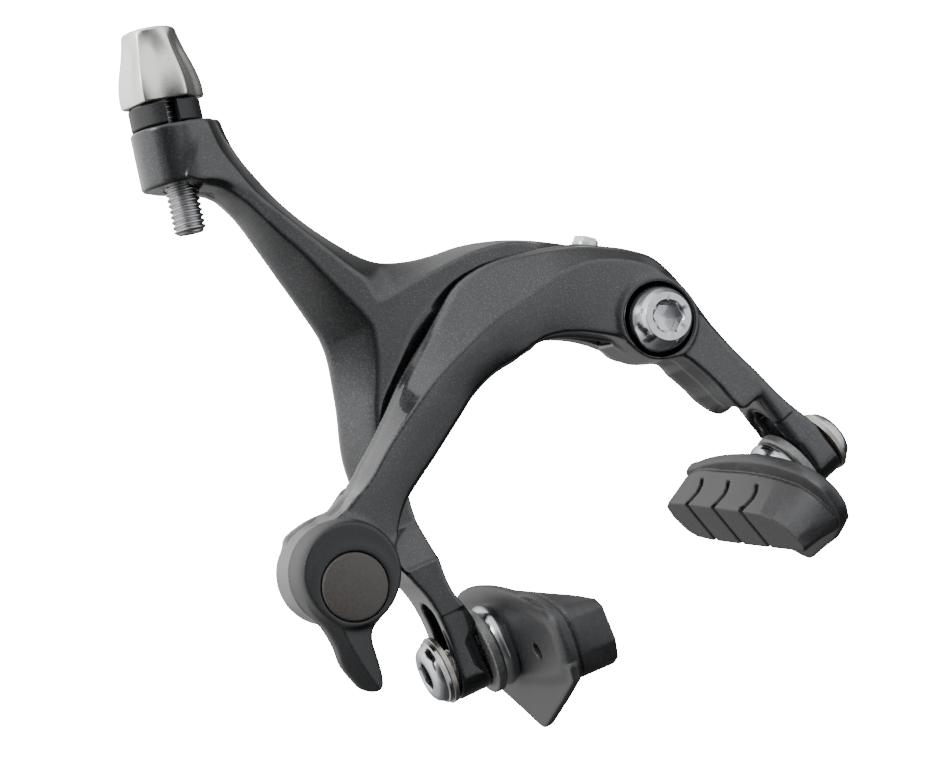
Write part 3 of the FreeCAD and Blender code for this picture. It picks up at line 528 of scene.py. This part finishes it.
# ---------------------------------------------------------------- Y-arm
# outline in three stretches and the raised front inside it, as (x, z)
Y_UPPER = [(-38.3, 55.0), (-37.4, 52.6), (-35.9, 48.4), (-33.9, 42.8), (-31.4, 36.6), (-26.9, 28.9),
           (-23.9, 24.9), (-21.2, 21.7), (-18.5, 19.4), (-13.6, 17.5), (-8, 16.6), (-2.4, 16.3),
           (6.1, 14.4), (11.1, 12.5), (15.3, 10.5), (19.7, 8), (23.4, 5), (25.2, 1.5)]
Y_UNDER = [(24.6, -1.7), (21, -2.4), (17, -1), (11.5, -.6), (6.4, -2.6), (0, -6.9), (-7.5, -3.2),
           (-15.5, -.4), (-22, -3.5), (-27.5, -12), (-31, -24), (-31.6, -34), (-31.5, -41), (-30.25, -45),
           (-30.25, -66)]
Y_LEFT = [(-37.2, -66), (-37.2, -38.2), (-38, -36.2), (-38.6, -34), (-38.9, -22), (-38.6, -13),
          (-35.5, -1.3), (-33.8, 9.6), (-34.9, 15.3), (-36.6, 22.3), (-38.3, 29.3), (-40.4, 37),
          (-43.8, 42.6), (-47, 44.5), (-49, 50), (-47, 54)]
Y_FACE_UP = [(10.5, 11), (7.3, 12.8), (1.6, 14.0), (-5.7, 14), (-10.4, 13.5), (-15, 13), (-19.6, 12.3),
             (-22.1, 12.4), (-22.9, 16.3), (-25.4, 20.6), (-28.1, 25.3), (-32.4, 32.5), (-36.4, 39.2),
             (-38, 43.4), (-39.6, 47.7), (-40, 52.9)]
Y_FACE_LOW = [(-47.4, 45.5), (-44.5, 43.1), (-41.2, 41.1), (-39.2, 38.8), (-36.8, 34.5), (-34.7, 30.4),
              (-32.1, 25.7), (-29.8, 20.4), (-28, 16.3), (-26, 11.8), (-25.1, 8.5), (-25.6, 6),
              (-26.4, 3.2), (-28.3, -1.3), (-30.2, -5.1), (-31.8, -9.5), (-33.4, -15), (-34.3, -22),
              (-33.2, -22), (-32.2, -15), (-30.6, -9), (-29, -5), (-26.1, -2.2), (-22.4, 1.3), (-18.6, 5.1),
              (-12.7, 8.6), (-7.4, 10.6), (-1.7, 11.2), (6.1, 10.4), (10.5, 9.6)]


HEAD_R, HEAD_OVAL, HEAD_HIGH = 7.0, 1.6, 10.8
HUB_R, HUB_BORE_R, NUT_RECESS_R = 6.9, 4.3, 4.9
ADJUSTER_BORE_R = 3.0
SCREW_BORE_R, SCREW_RECESS_R = 1.55, 2.95


def build_y_arm():
    """Rear arm: adjuster's head, hub, branch behind the C-arm and left leg."""
    g = Grid((-56.5, -19.4, -62), (27.2, -0.8, 60.5), 0.34)
    x, z = g.flat_x, g.flat_z
    upper, under, left = Curve(Y_UPPER), Curve(Y_UNDER), Curve(Y_LEFT)
    ring = Curve(np.vstack([upper.line, under.line, left.line]), closed=True, straight=True)
    outline = ring.within(x, z)
    ring = Curve(np.vstack([Curve(Y_FACE_LOW).line, Curve(Y_FACE_UP).line]), closed=True, straight=True)
    face = ring.within(x, z)
    rise = np.clip((z - 30) / 20, 0, 1)
    y_face = Y_ARM_FACE - 1.2 * rise * rise * (3 - 2 * rise)
    width = np.maximum(np.maximum(face, 0) + np.maximum(-outline, 0), 0.5)
    # the bevel falls further back along the upper and left edges, and less along the underside
    near_under = under.nearest(x, z)[0]
    near_other = np.minimum(upper.nearest(x, z)[0], left.nearest(x, z)[0])
    y_edge = -8.0 - 0.5 * rise - 2.8 * np.clip((near_other - near_under) / 3, 0, 1)
    front = y_face + (y_edge - y_face) * np.clip(np.maximum(face, 0) / width, 0, 1) ** 1.15
    # slope of the leg, then its block down to the foot
    ramp = np.interp(z, [-34.3, -34.0, -27.0, -22.0, -20.0], [FOOT_FACE, -17.9, -13.4, -12.7, -11.0])
    front = np.where(z < -20, np.where(z < -34.2, FOOT_FACE, np.minimum(front, ramp)), front)
    wall = g.spread(outline)
    back = Y_ARM_BACK + 1.6 * rise
    back = np.where(z < -34, -5.4, back)
    body = smax(smax(wall, g.spread(front) - g.y, 0.6), g.y - g.spread(back), 0.8)
    foot = capsule_x(g, -11.9, -REACH, 40, 6.5)
    body = rounded_foot(g, body, foot, g.x + FOOT_IN)
    from_head, above_head, behind_head = g.x - HEAD_AT[0], g.z - HEAD_AT[2], g.y - HEAD_AT[1]
    along = from_head * ADJ[0] + above_head * ADJ[2]
    aside = from_head * ADJ[2] - above_head * ADJ[0]
    across = np.hypot(aside, behind_head)
    oval = np.hypot(aside - np.clip(aside, 0, HEAD_OVAL), behind_head)
    head = smax(oval - HEAD_R, slab(along, -HEAD_HIGH, 0), 0.8)
    body = smin(body, head, 4.5)
    body = smax(body, along, 0.5)
    hub = smax(round_y(g, 0, 0, HUB_R), slab(g.y, Y_ARM_FACE, Y_ARM_BACK), 0.5)
    body = smin(body, hub, 1.2)
    body = smax(body, -(across - ADJUSTER_BORE_R), 0.25)
    body = smax(body, -round_y(g, 0, 0, HUB_BORE_R), 0.25)
    body = smax(body, -np.maximum(round_y(g, 0, 0, NUT_RECESS_R), g.y + 10.35), 0.25)
    from_screw, above_screw = g.x - SCREW_AT[0], g.z - SCREW_AT[2]
    run = from_screw * SCREW_AXIS[0] + above_screw * SCREW_AXIS[2]
    off = np.hypot(from_screw * SCREW_AXIS[2] - above_screw * SCREW_AXIS[0], g.y - SCREW_AT[1])
    body = smax(body, -(off - SCREW_BORE_R), 0.2)
    body = smax(body, -np.maximum(off - SCREW_RECESS_R, -0.1 - run), 0.3)
    slot = np.maximum(capsule_x(g, SHOE_Y, -REACH, SLOT_TOP, SLOT_R), g.x + 25)
    body = smax(body, -slot, 0.4)
    return g.mesh(body)


verts, quads = build_c_arm()
add_mesh("c_arm_casting", verts, quads, ON_C, "c_arm", PAINT, ["c_arm"])
verts, quads = build_y_arm()
add_mesh("y_arm_casting", verts, quads, ON_Y, "y_arm", PAINT, ["y_arm"])


# ---------------------------------------------------------------- turned pieces
def frame_along(axis, origin):
    """Matrix whose Z is axis and whose origin is a point."""
    z = Vector(axis).normalized()
    x = Vector((0, 1, 0)).cross(z)
    if x.length < 0.1:
        x = Vector((1, 0, 0)).cross(z)
    x.normalize()
    y = z.cross(x)
    m = Matrix((x, y, z)).transposed().to_4x4()
    m.translation = Vector(origin)
    return m


def turned(profile, ring=False, segments=96):
    """Rings up an axis. A row is (height, radius), or (height, flats, "hex") for a six-sided ring."""
    verts, faces = [], []
    for row in profile:
        for k in range(segments):
            angle = 2 * math.pi * k / segments
            radius = row[1]
            if len(row) > 2:
                sector = (angle % (math.pi / 3)) - math.pi / 6
                radius = row[1] / 2 / math.cos(sector)
            verts.append((radius * math.cos(angle), radius * math.sin(angle), row[0]))
    count = len(profile)
    last = count if ring else count - 1
    for i in range(last):
        j = (i + 1) % count
        for k in range(segments):
            m = (k + 1) % segments
            faces.append([i * segments + k, i * segments + m, j * segments + m, j * segments + k])
    if not ring:
        faces.append([k for k in range(segments)][::-1])
        faces.append([(count - 1) * segments + k for k in range(segments)])
    return verts, faces


def lathe(name, profile, axis, origin, place, body, paint, stands_for=(), bevel=0.12, ring=False):
    """A turned piece along an axis; ring closes the profile into a washer's section."""
    verts, faces = turned(profile, ring)
    place = place @ frame_along(axis, origin)
    add_mesh(name, verts, faces, place, body, paint, stands_for, 32, bevel)


# centring screw with a flanged hexagon head, in the hook of the Y-arm
lathe("centring_screw_body", [(-11.5, 1.1), (-11.2, 1.45), (0, 1.45), (0, 2.4), (0.2, 2.6), (0.75, 2.6),
                              (0.8, 4.5, "hex"), (1.75, 4.4, "hex"), (2.0, 3.9, "hex"), (2.0, 1.15),
                              (0.9, 1.1)],
      SCREW_AXIS, SCREW_AT, ON_Y, "centring_screw", CLEAR, ["centring_screw"], bevel=0.06)

# side pivot's conical cap screw
lathe("side_pivot_screw", [(0, 6.75), (0.4, 6.75), (4.7, 4.95), (5.2, 4.5), (5.2, 3.25), (4.8, 5.2, "hex"),
                           (2.0, 5.0, "hex"), (1.6, 1.0)],
      (0, -1, 0), (NOMINAL_SIDE[0], -18.6, NOMINAL_SIDE[1]), STILL, "root", POLISHED,
      ["side_pivot_bolt"], bevel=0.08)


# shoe clamps and the convex washers
def dipped(degrees):
    """Turn about the shoe bolt, front end down."""
    move = Matrix.Translation((0, SHOE_Y, -REACH))
    return move @ Matrix.Rotation(math.radians(degrees), 4, "X") @ Matrix.Translation((0, -SHOE_Y, REACH))


# section of a convex washer
CONE = [(0, 3.05), (0, 7.2)]
CONE += [(0.2 + 2.7 * k / 8, 7.3 + 0.5 * math.sin(math.pi * k / 8)) for k in range(9)]
CONE += [(2.9, 3.05)]
for side, sign, place in (("left", -1, ON_Y), ("right", 1, ON_C)):
    axis = (sign, 0, 0)

    def out(x):
        return (sign * x, SHOE_Y, -REACH)

    lathe(side + "_plain_washer", [(0, 3.2), (0, 6.3), (0.95, 6.4), (1.0, 3.2)], axis, out(FOOT_OUT + 0.05),
          place, side + "_clamp", WASHER, [side + "_flat_washer"], ring=True)
    lathe(side + "_shoe_nut", [(0, 3.1), (0, 5.9), (0.7, 5.9), (0.8, 5.5), (1.3, 5.35), (2.0, 4.95),
                               (2.4, 4.4), (2.6, 3.6), (2.6, 2.9), (2.35, 4.7, "hex"), (2.1, 4.6, "hex"),
                               (0.3, 4.6, "hex"), (0.2, 3.1)],
          axis, out(FOOT_OUT + 1.05), place, side + "_clamp", POLISHED, [side + "_cap_nut"],
          ring=True, bevel=0.08)
    lathe(side + "_dish", [(0, 3.2), (0, 7.6), (0.3, 8.0), (1.7, 8.0), (1.95, 7.7), (1.95, 3.2)], axis,
          out(FOOT_IN - 2.0), place, side + "_clamp", DULL, [side + "_dished_washer"],
          ring=True)
    lathe(side + "_cone", CONE, axis, out(FOOT_IN - 5.0), place @ dipped(DIPS[side]), side + "_shoe",
          POLISHED, [side + "_convex_washer"], ring=True)


# ---------------------------------------------------------------- cable adjuster
SEAT = Vector(HEAD_AT)
ALONG = Vector(ADJ)


def fluted_cap():
    """Tapered cap nut with six wide flutes and a round top for the housing."""
    segments = 192
    verts, faces = [], []
    outside = [(0.0, 7.2), (0.2, 7.5), (0.6, 7.6), (2.0, 7.6), (3.4, 7.45), (4.6, 7.2), (5.8, 6.9),
               (7.2, 6.45), (8.6, 6.0), (10.0, 5.6), (11.4, 5.25), (12.3, 5.05), (12.8, 4.95), (13.2, 4.7),
               (13.4, 4.2)]
    inside = [(13.4, 2.9), (13.25, 2.62), (13.0, 2.55), (7.4, 2.55), (7.4, 3.0), (0.3, 3.0), (0.0, 3.3)]
    for row, (h, r) in enumerate(outside + inside):
        for k in range(segments):
            a = 2 * math.pi * k / segments
            depth = 0.0
            if row < len(outside):
                wave = abs(math.sin(3 * a + 0.35)) ** 1.15
                fade = min(1.0, max(0.0, (12.9 - h) / 6.0))
                depth = 1.3 * wave * (1 - (1 - fade) ** 2)
            verts.append(((r - depth) * math.cos(a), (r - depth) * math.sin(a), h))
    rows = len(outside) + len(inside)
    for i in range(rows):
        j = (i + 1) % rows
        for k in range(segments):
            m = (k + 1) % segments
            faces.append([i * segments + k, i * segments + m, j * segments + m, j * segments + k])
    return verts, faces


verts, faces = fluted_cap()
add_mesh("adjuster_barrel", verts, faces, ON_Y @ frame_along(ADJ, SEAT + ALONG * 4.3), "adjuster_cap", SATIN,
         ["adjuster_cap"], 30, 0.1)


def half_ring(inner, outer, height, gap, flip):
    """Half of a collar, parted front and back by a gap across its local Y."""
    segments = 64
    verts, faces = [], []
    shape = [(inner, 0.0), (outer - 0.25, 0.0), (outer, 0.25), (outer, height - 0.4), (outer - 0.4, height),
             (inner, height)]
    for r, h in shape:
        edge = math.asin(gap / 2 / r)
        for k in range(segments + 1):
            a = -math.pi / 2 + edge + (math.pi - 2 * edge) * k / segments + (math.pi if flip else 0)
            verts.append((r * math.cos(a), r * math.sin(a), h))
    count, wide = len(shape), segments + 1
    for i in range(count):
        j = (i + 1) % count
        for k in range(segments):
            faces.append([i * wide + k, i * wide + k + 1, j * wide + k + 1, j * wide + k])
    faces.append([i * wide for i in range(count)])
    faces.append([i * wide + segments for i in range(count)][::-1])
    return verts, faces


for name, flip in (("adjuster_collar_left", True), ("adjuster_collar_right", False)):
    verts, faces = half_ring(3.35, 6.5, 4.2, 2.2, flip)
    add_mesh(name, verts, faces, ON_Y @ frame_along(ADJ, SEAT), "y_arm", BLACK,
             ["adjuster_collar"], 30, 0.1)


def threaded(length, outer, core, pitch, bore=0.0, end=0.6):
    """Rod with a rolled thread as a height field, which runs out over its last end mm."""
    segments = 72
    rows = int(length / (pitch / 10))
    verts, faces = [], []
    for i in range(rows + 1):
        h = length * i / rows
        fade = min(1.0, h / 0.6, (length - h) / end)
        for k in range(segments):
            a = 2 * math.pi * k / segments
            phase = (h / pitch - k / segments) % 1.0
            crest = min(1.0, 1.35 * abs(2 * phase - 1))
            r = core + (outer - core) * crest
            r = r * fade + (core - 0.15) * (1 - fade)
            verts.append((r * math.cos(a), r * math.sin(a), h))
    for i in range(rows):
        for k in range(segments):
            m = (k + 1) % segments
            faces.append([i * segments + k, i * segments + m, (i + 1) * segments + m, (i + 1) * segments + k])
    first = len(verts)
    if bore:
        for h in (0.0, length):
            for k in range(segments):
                a = 2 * math.pi * k / segments
                verts.append((bore * math.cos(a), bore * math.sin(a), h))
        top = rows * segments
        for k in range(segments):
            m = (k + 1) % segments
            faces.append([first + k, first + m, m, k])
            faces.append([top + k, top + m, first + segments + m, first + segments + k])
            faces.append([first + m, first + k, first + segments + k, first + segments + m])
    else:
        faces.append([k for k in range(segments)][::-1])
        faces.append([rows * segments + k for k in range(segments)])
    return verts, faces


verts, faces = threaded(28.4, 2.95, 2.4, 1.0, 1.1)
add_mesh("adjuster_thread", verts, faces, ON_Y @ frame_along(ADJ, SEAT - ALONG * 19.45), "adjuster_bolt",
         ZINC, ["adjuster_bolt"])


# ---------------------------------------------------------------- centre bolt
# round front part with its flange, then a rolled thread behind the mounting face
lathe("centre_bolt_front", [(-12.6, 1.2), (-12.6, 2.3), (-12.2, 2.7), (-6.05, 2.7), (-6.05, 5.0), (-5.9, 5.2),
                            (-5.50, 5.2), (-5.50, 2.98), (7.6, 2.98), (8.2, 2.4), (8.2, 1.2)],
      (0, 1, 0), (0, 0, 0), STILL, "root", ZINC, ["centre_bolt"], bevel=0.06)
verts, faces = threaded(31.4, 2.95, 2.42, 1.0, end=1.6)
add_mesh("centre_bolt_thread", verts, faces, frame_along((0, 1, 0), (0, 7.6, 0)), "root", ZINC,
         ["centre_bolt"])


# ---------------------------------------------------------------- brake shoes
SHOE_PAD = [(29.5, -2.0), (29.3, 0.8), (27, 2.0), (19.1, 2.1), (8.7, 1.9), (-2.1, 1.6), (-9.6, 1.3),
            (-12.9, 0.1), (-15.5, -1.9), (-17.3, -4.2), (-17.9, -6.2), (-16.9, -7.3), (-4.9, -7.4),
            (7.5, -7.4), (19.4, -7.3), (24.5, -6.9), (27.4, -5.5)]
SHOE_RIM = [(28.9, -1.5), (28.6, 2.4), (23.3, 4.8), (8.8, 5.7), (-4.4, 5.3), (-12.6, 4.1), (-17.9, 2.4),
            (-21.2, -0.9), (-22.2, -4.6), (-20.5, -7.0), (-14, -7.9), (8, -7.9), (20, -7.3), (26.5, -5.6)]
SHOE_BODY = [(-24.3, -3.6), (-24.0, 1.6), (-20.3, 5.4), (-13, 7.8), (-4.4, 8.7), (4.2, 8.7), (13, 8.0),
             (21.9, 6.5), (29.0, 4.2), (29.8, 2.6), (29.4, -1.5), (26.5, -5.9), (20, -7.6), (8, -8.6),
             (-14, -8.7), (-21.5, -7.0)]
SHOE_FIN = [(29, -3.0), (-22, -3.0), (-21, -6.4), (-17.5, -8.8), (-12.7, -11.5), (-5.4, -14.3),
            (0.5, -16.8), (2.7, -17.4), (4.6, -16.9), (9.7, -14.6), (19.3, -10.2), (28, -6.0)]
# outlines above are (y, z) from the shoe bolt, for the right shoe
GROOVES = (19.1, 8.5, -2.2)             # where the three water grooves cross the braking face
GROOVE_DEPTH = 5.2
SHOE_BACK = FOOT_IN - 5.0               # back of the rubber
SHOE_FACE = SHOE_BACK - 10.4            # braking face
STEP = 7.2                              # depth of the block in front of its wider base


def shoe_outline(points, lift, straight=False):
    """Closed outline around the shoe bolt, with everything above the bolt raised by lift."""
    moved = [(SHOE_Y + a, -REACH + (b + lift if b > 0 else b)) for a, b in points]
    return Curve(moved, closed=True, straight=straight)


def shoe_mesh(lift):
    """Rubber shoe: grooved block, wider base with a lip, guide fin, boss and a small blind hole."""
    g = Grid((14.2, -38.2, -73.2), (26.0, 18.4, -41.0), 0.25)
    y, z = np.meshgrid(g.y[0, :, 0], g.z[0, 0, :], indexing="ij")
    pad = shoe_outline(SHOE_PAD, lift, True).within(y, z)[None]
    rim = shoe_outline(SHOE_RIM, lift).within(y, z)[None]
    wide = shoe_outline(SHOE_BODY, 0.6 * lift).within(y, z)[None]
    fin = shoe_outline(SHOE_FIN, 0.0, True).within(y, z)[None]
    depth = g.x - SHOE_FACE
    t = np.clip(depth / STEP, 0, 1)
    skin = pad * (1 - t) + rim * t
    ridge = g.z + REACH - 1.9 - lift
    swing = np.interp(depth, [0, 1.5, 2.7, 4.0, GROOVE_DEPTH], [0, -1.7, -2.8, -3.0, -2.3])
    for place in GROOVES:
        line = g.y - SHOE_Y - place - np.where(ridge > -0.6, swing, 0.2 * ridge)
        cut = smax(np.abs(line) * 0.8 - 0.5, -(skin + 1.2), 0.3)
        skin = smax(skin, -np.maximum(cut, depth - GROOVE_DEPTH), 0.15)
        on_face = np.maximum(np.abs(g.y - SHOE_Y - place - 0.2 * np.minimum(ridge, 0)) - 0.55, depth - 1.3)
        skin = smax(skin, -np.maximum(on_face, ridge), 0.15)
    block = smax(skin, slab(g.x, SHOE_FACE, SHOE_BACK - 1.5), 0.3)
    flare = 1.1 * (1 - np.clip((depth - STEP) / 2.0, 0, 1))
    base = smax(wide + flare, STEP - depth, 0.2)
    base = smax(base, g.x - (SHOE_BACK - 0.2), 3.4)
    block = smax(block, -np.maximum(np.abs(depth - STEP + 0.25) - 0.3, -(rim + 0.5)), 0.1)
    solid = smin(block, base, 0.1)
    guide = smax(fin + 0 * g.x, slab(g.x, SHOE_BACK - 2.4, SHOE_BACK - 0.7), 0.5)
    solid = smin(solid, guide, 0.6)
    boss = smax(np.hypot(g.y - SHOE_Y, g.z + REACH) - 7.0, slab(g.x, SHOE_BACK - 3, SHOE_BACK), 0.4)
    solid = smin(solid, boss, 0.6)
    hole = np.hypot(g.y - (SHOE_Y + 17.2), g.z + REACH + 0.7) - 1.5
    solid = smax(solid, -np.maximum(hole, (SHOE_BACK - 5.5) - g.x), 0.25)
    stud = np.hypot(g.y - SHOE_Y, g.z + REACH) - 3.05
    solid = smax(solid, -np.maximum(stud, (SHOE_BACK - 3.2) - g.x), 0.2)
    return g.mesh(solid, 1)


half_turn = Matrix.Translation((0, SHOE_Y, 0)) @ Matrix.Rotation(math.pi, 4, "Z")
half_turn = half_turn @ Matrix.Translation((0, -SHOE_Y, 0))
for side, place, lift in (("left", ON_Y, 3.6), ("right", ON_C, 0.0)):
    shoe_verts, shoe_quads = shoe_mesh(lift)
    spin = place @ dipped(DIPS[side]) @ (half_turn if side == "left" else STILL)
    add_mesh(side + "_brake_shoe", shoe_verts, shoe_quads, spin, side + "_shoe", RUBBER,
             [side + "_shoe_rubber"])
    verts, faces = threaded(14.8, 2.95, 2.45, 1.0)
    stud_place = spin @ frame_along((1, 0, 0), (SHOE_BACK - 3.4, SHOE_Y, -REACH))
    add_mesh(side + "_stud_thread", verts, faces, stud_place, side + "_shoe", ZINC,
             [side + "_shoe_stud"])


# ---------------------------------------------------------------- quick release lever
TAIL = [(-47.9, -15.5), (-51.3, -18.3), (-54.1, -19.8), (-57.0, -20.9), (-57.9, -21.8), (-59.0, -24.4),
        (-60.6, -28.1), (-61.5, -29.3), (-62.6, -29.6), (-63.8, -28.9), (-64.6, -27.7), (-65.0, -25.0),
        (-64.9, -21.8), (-64.0, -19.1), (-63.4, -15.5), (-63.1, -10.3), (-53.8, -6.0), (-46.0, -10.0)]
TAIL_RIDGE = [(-59.4, -9.0, -28.5), (-60.6, -13.0, -28.4), (-61.3, -17.0, -28.2), (-62.0, -21.6, -27.8),
              (-62.3, -25.3, -27.3), (-62.3, -31.0, -26.4)]


def build_lever():
    """Round head with a recess for its disc, and a tail whose ridge runs from the head to its tip."""
    g = Grid((-67.5, -29.4, -31.5), (-43.2, -20.3, 0.4), 0.24)
    x, z = g.flat_x, g.flat_z
    outline = g.spread(Curve(TAIL, closed=True, step=0.6).within(x, z))
    gap, side, high = Curve(TAIL_RIDGE, step=0.6, reach=3.0).nearest(x, z)
    fall = np.where(side > 0, 0.30, 0.62)
    top = g.spread(high + gap * fall)
    handle = smax(smax(outline, top - g.y, 0.5), g.y + 22.9, 0.9)
    shrink = 1.1 * (1 - np.sqrt(1 - np.clip((-24.5 - g.y) / 4.1, 0, 1) ** 2))
    disc = smax(round_y(g, *QR, BOSS_R) + shrink, LEVER_FACE - g.y, 0.3)
    disc = smax(disc, g.y + 20.9, 0.4)
    body = smin(disc, handle, 1.0)
    flat = smax(round_y(g, *DISC_AT, 6.5), slab(g.y, LEVER_FACE, -26.0), 0.3)
    body = smin(body, flat, 2.0)
    body = smax(body, LEVER_FACE - g.y, 0.3)
    body = smax(body, -np.maximum(round_y(g, *DISC_AT, DISC_R + 0.15), g.y - DISC_FLOOR), 0.15)
    body = smax(body, -np.maximum(round_y(g, *QR, 3.6), -24.6 - g.y), 0.2)
    return g.mesh(body)


verts, quads = build_lever()
add_mesh("release_lever", verts, quads, ON_C, "quick_release", LEVER,
         ["quick_release_lever"])
lathe("release_disc",
      [(0, 2.0), (0, DISC_R), (1.15, DISC_R), (1.4, 5.75), (1.5, 5.4), (1.42, 0.4)], (0, -1, 0),
      (DISC_AT[0], DISC_FLOOR, DISC_AT[1]), ON_C, "quick_release", DISC, ["quick_release_cap"],
      bevel=0.06)


# ---------------------------------------------------------------- CAD nodes that stay, with finer materials
KEPT = {
    "serrated_washer": ZINC, "pivot_bracket": ZINC, "side_pivot_pin": POLISHED, "side_pivot_washers": ZINC,
    "centre_lock_nut": ZINC, "spring_holder": BLACK, "return_spring": SPRING, "centre_bush": BRONZE,
    "left_spring_slider": BLACK, "side_pivot_bush": BRONZE, "right_spring_slider": BLACK,
    "quick_release_cam": ZINC, "anchor_block": ZINC, "anchor_plate": ZINC, "anchor_bolt": ZINC,
}
for name, paint in KEPT.items():
    kept = nodes[name]
    if not kept.data.materials:
        kept.data.materials.append(paint)
    for k in range(len(kept.data.materials)):
        kept.data.materials[k] = paint
    round_off(kept, 0.15)


# ---------------------------------------------------------------- floor, light and camera
BACKGROUND = 24.0                       # strength of the plain white behind and below the object


def stage_floor():
    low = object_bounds()[0]
    mesh = bpy.data.meshes.new("floor")
    size = 6.0
    level = low[2] - 0.012
    corners = [(-size, -size, level), (size, -size, level), (size, size, level), (-size, size, level)]
    mesh.from_pydata(corners, [], [(0, 1, 2, 3)])
    floor = bpy.data.objects.new("floor", mesh)
    bpy.context.scene.collection.objects.link(floor)
    white = material("pale_floor", (0.86, 0.86, 0.86), (0.88, 0.88, 0.88), 0.8, grain=20, bump=0.0, spec=0.1)
    shader = white.node_tree.nodes["Principled BSDF"]
    shader.inputs["Emission Color"].default_value = (1, 1, 1, 1)
    shader.inputs["Emission Strength"].default_value = BACKGROUND
    mesh.materials.append(white)
    # seen by the camera, but its glow doesn't light the object
    floor.visible_diffuse = False
    floor.visible_glossy = False


stage_floor()


def area(name, place, size, power):
    """Square lamp aimed at the origin."""
    lamp = bpy.data.lights.new(name, "AREA")
    lamp.energy = power
    lamp.size = size
    made = bpy.data.objects.new(name, lamp)
    made.location = place
    made.rotation_euler = Vector(place).to_track_quat("Z", "Y").to_euler()
    # no hard-edged image of the lamp in the gloss
    made.visible_glossy = False
    bpy.context.scene.collection.objects.link(made)


def glow(tree, place, direction, levels):
    """Brightness by how near the ray is to a direction, from opposite (0) to straight along it (1).

    A level is (nearness, brightness, tint towards blue).
    """
    aim = node(tree, "ShaderNodeVectorMath", operation="DOT_PRODUCT")
    aim.inputs[1].default_value = Vector(direction).normalized()
    tree.links.new(place.outputs["Generated"], aim.inputs[0])
    spread = node(tree, "ShaderNodeMapRange")
    spread.inputs["From Min"].default_value = -1.0
    tree.links.new(aim.outputs["Value"], spread.inputs["Value"])
    ramp = node(tree, "ShaderNodeValToRGB")
    ramp.color_ramp.interpolation = "EASE"
    for k, (at, value, tint) in enumerate(levels):
        stop = ramp.color_ramp.elements[k] if k < 2 else ramp.color_ramp.elements.new(at)
        stop.position = at
        stop.color = (value * (1 - tint), value, value * (1 + tint), 1)
    tree.links.new(spread.outputs["Result"], ramp.inputs["Fac"])
    return ramp.outputs["Color"]


# directions that the room's light comes from, in the caliper's own frame
ABOVE_LEFT = (-0.62, 0.18, 0.76)        # wide and bright
FRONT_RIGHT = (0.66, -0.74, 0.12)       # weaker fill
STRIP = (-0.55, -0.42, 0.72)            # narrow and strong, for the highlights along edges
DIM_FRONT = (-0.36, -0.93, 0.05)        # here the room is darker


def studio():
    """Plain white for the camera, and a room that lights the object from above left and is dim in front."""
    world = bpy.data.worlds.new("studio")
    world.use_nodes = True
    tree = world.node_tree
    place = node(tree, "ShaderNodeTexCoord")
    above = glow(tree, place, ABOVE_LEFT, [(0.0, 0.05, 0.0), (1.0, 2.6, 0.0), (0.30, 0.12, 0.0),
                                           (0.50, 0.34, 0.0), (0.66, 0.85, 0.0), (0.80, 1.8, 0.0)])
    front = glow(tree, place, FRONT_RIGHT, [(0.0, 0.0, 0.03), (1.0, 1.6, 0.03), (0.72, 0.0, 0.03),
                                            (0.84, 0.9, 0.03)])
    strip = glow(tree, place, STRIP, [(0.0, 0.0, 0.0), (1.0, 9.0, 0.04), (0.985, 0.0, 0.04),
                                      (0.994, 6.0, 0.04)])
    shade = glow(tree, place, DIM_FRONT, [(0.0, 1.0, 0.0), (1.0, 0.18, 0.0), (0.84, 1.0, 0.0),
                                          (0.94, 0.40, 0.0)])
    room = above
    for other, blend in ((front, "ADD"), (strip, "ADD"), (shade, "MULTIPLY")):
        mix = node(tree, "ShaderNodeMix", data_type="RGBA", blend_type=blend)
        mix.inputs["Factor"].default_value = 1.0
        tree.links.new(room, mix.inputs["A"])
        tree.links.new(other, mix.inputs["B"])
        room = mix.outputs["Result"]
    seen = node(tree, "ShaderNodeLightPath")
    pick = node(tree, "ShaderNodeMix", data_type="RGBA")
    tree.links.new(seen.outputs["Is Camera Ray"], pick.inputs["Factor"])
    tree.links.new(room, pick.inputs["A"])
    pick.inputs["B"].default_value = (BACKGROUND, BACKGROUND, BACKGROUND, 1)
    tree.links.new(pick.outputs["Result"], tree.nodes["Background"].inputs["Color"])
    bpy.context.scene.world = world


studio()
area("key", (-0.5, -0.3, 0.6), 0.8, 5.0)
area("rim", (0.6, 0.3, 0.4), 0.3, 3.0)

# from the front and a little left, rolled so that the caliper leans
camera = bpy.data.cameras.new("camera")
camera.sensor_width = 36
camera.lens = 85.02                     # mm
camera.clip_start = 0.02
viewer = bpy.data.objects.new("camera", camera)
right = Vector((0.8153, -0.3200, -0.4825))
up = Vector((0.4831, -0.0836, 0.8716))
toward = Vector((-0.3193, -0.9437, 0.0865))
pose = Matrix((right, up, toward)).transposed().to_4x4()
pose.translation = Vector((-0.14346, -0.40245, 0.02936))
viewer.matrix_world = pose
bpy.context.scene.collection.objects.link(viewer)
bpy.context.scene.camera = viewer
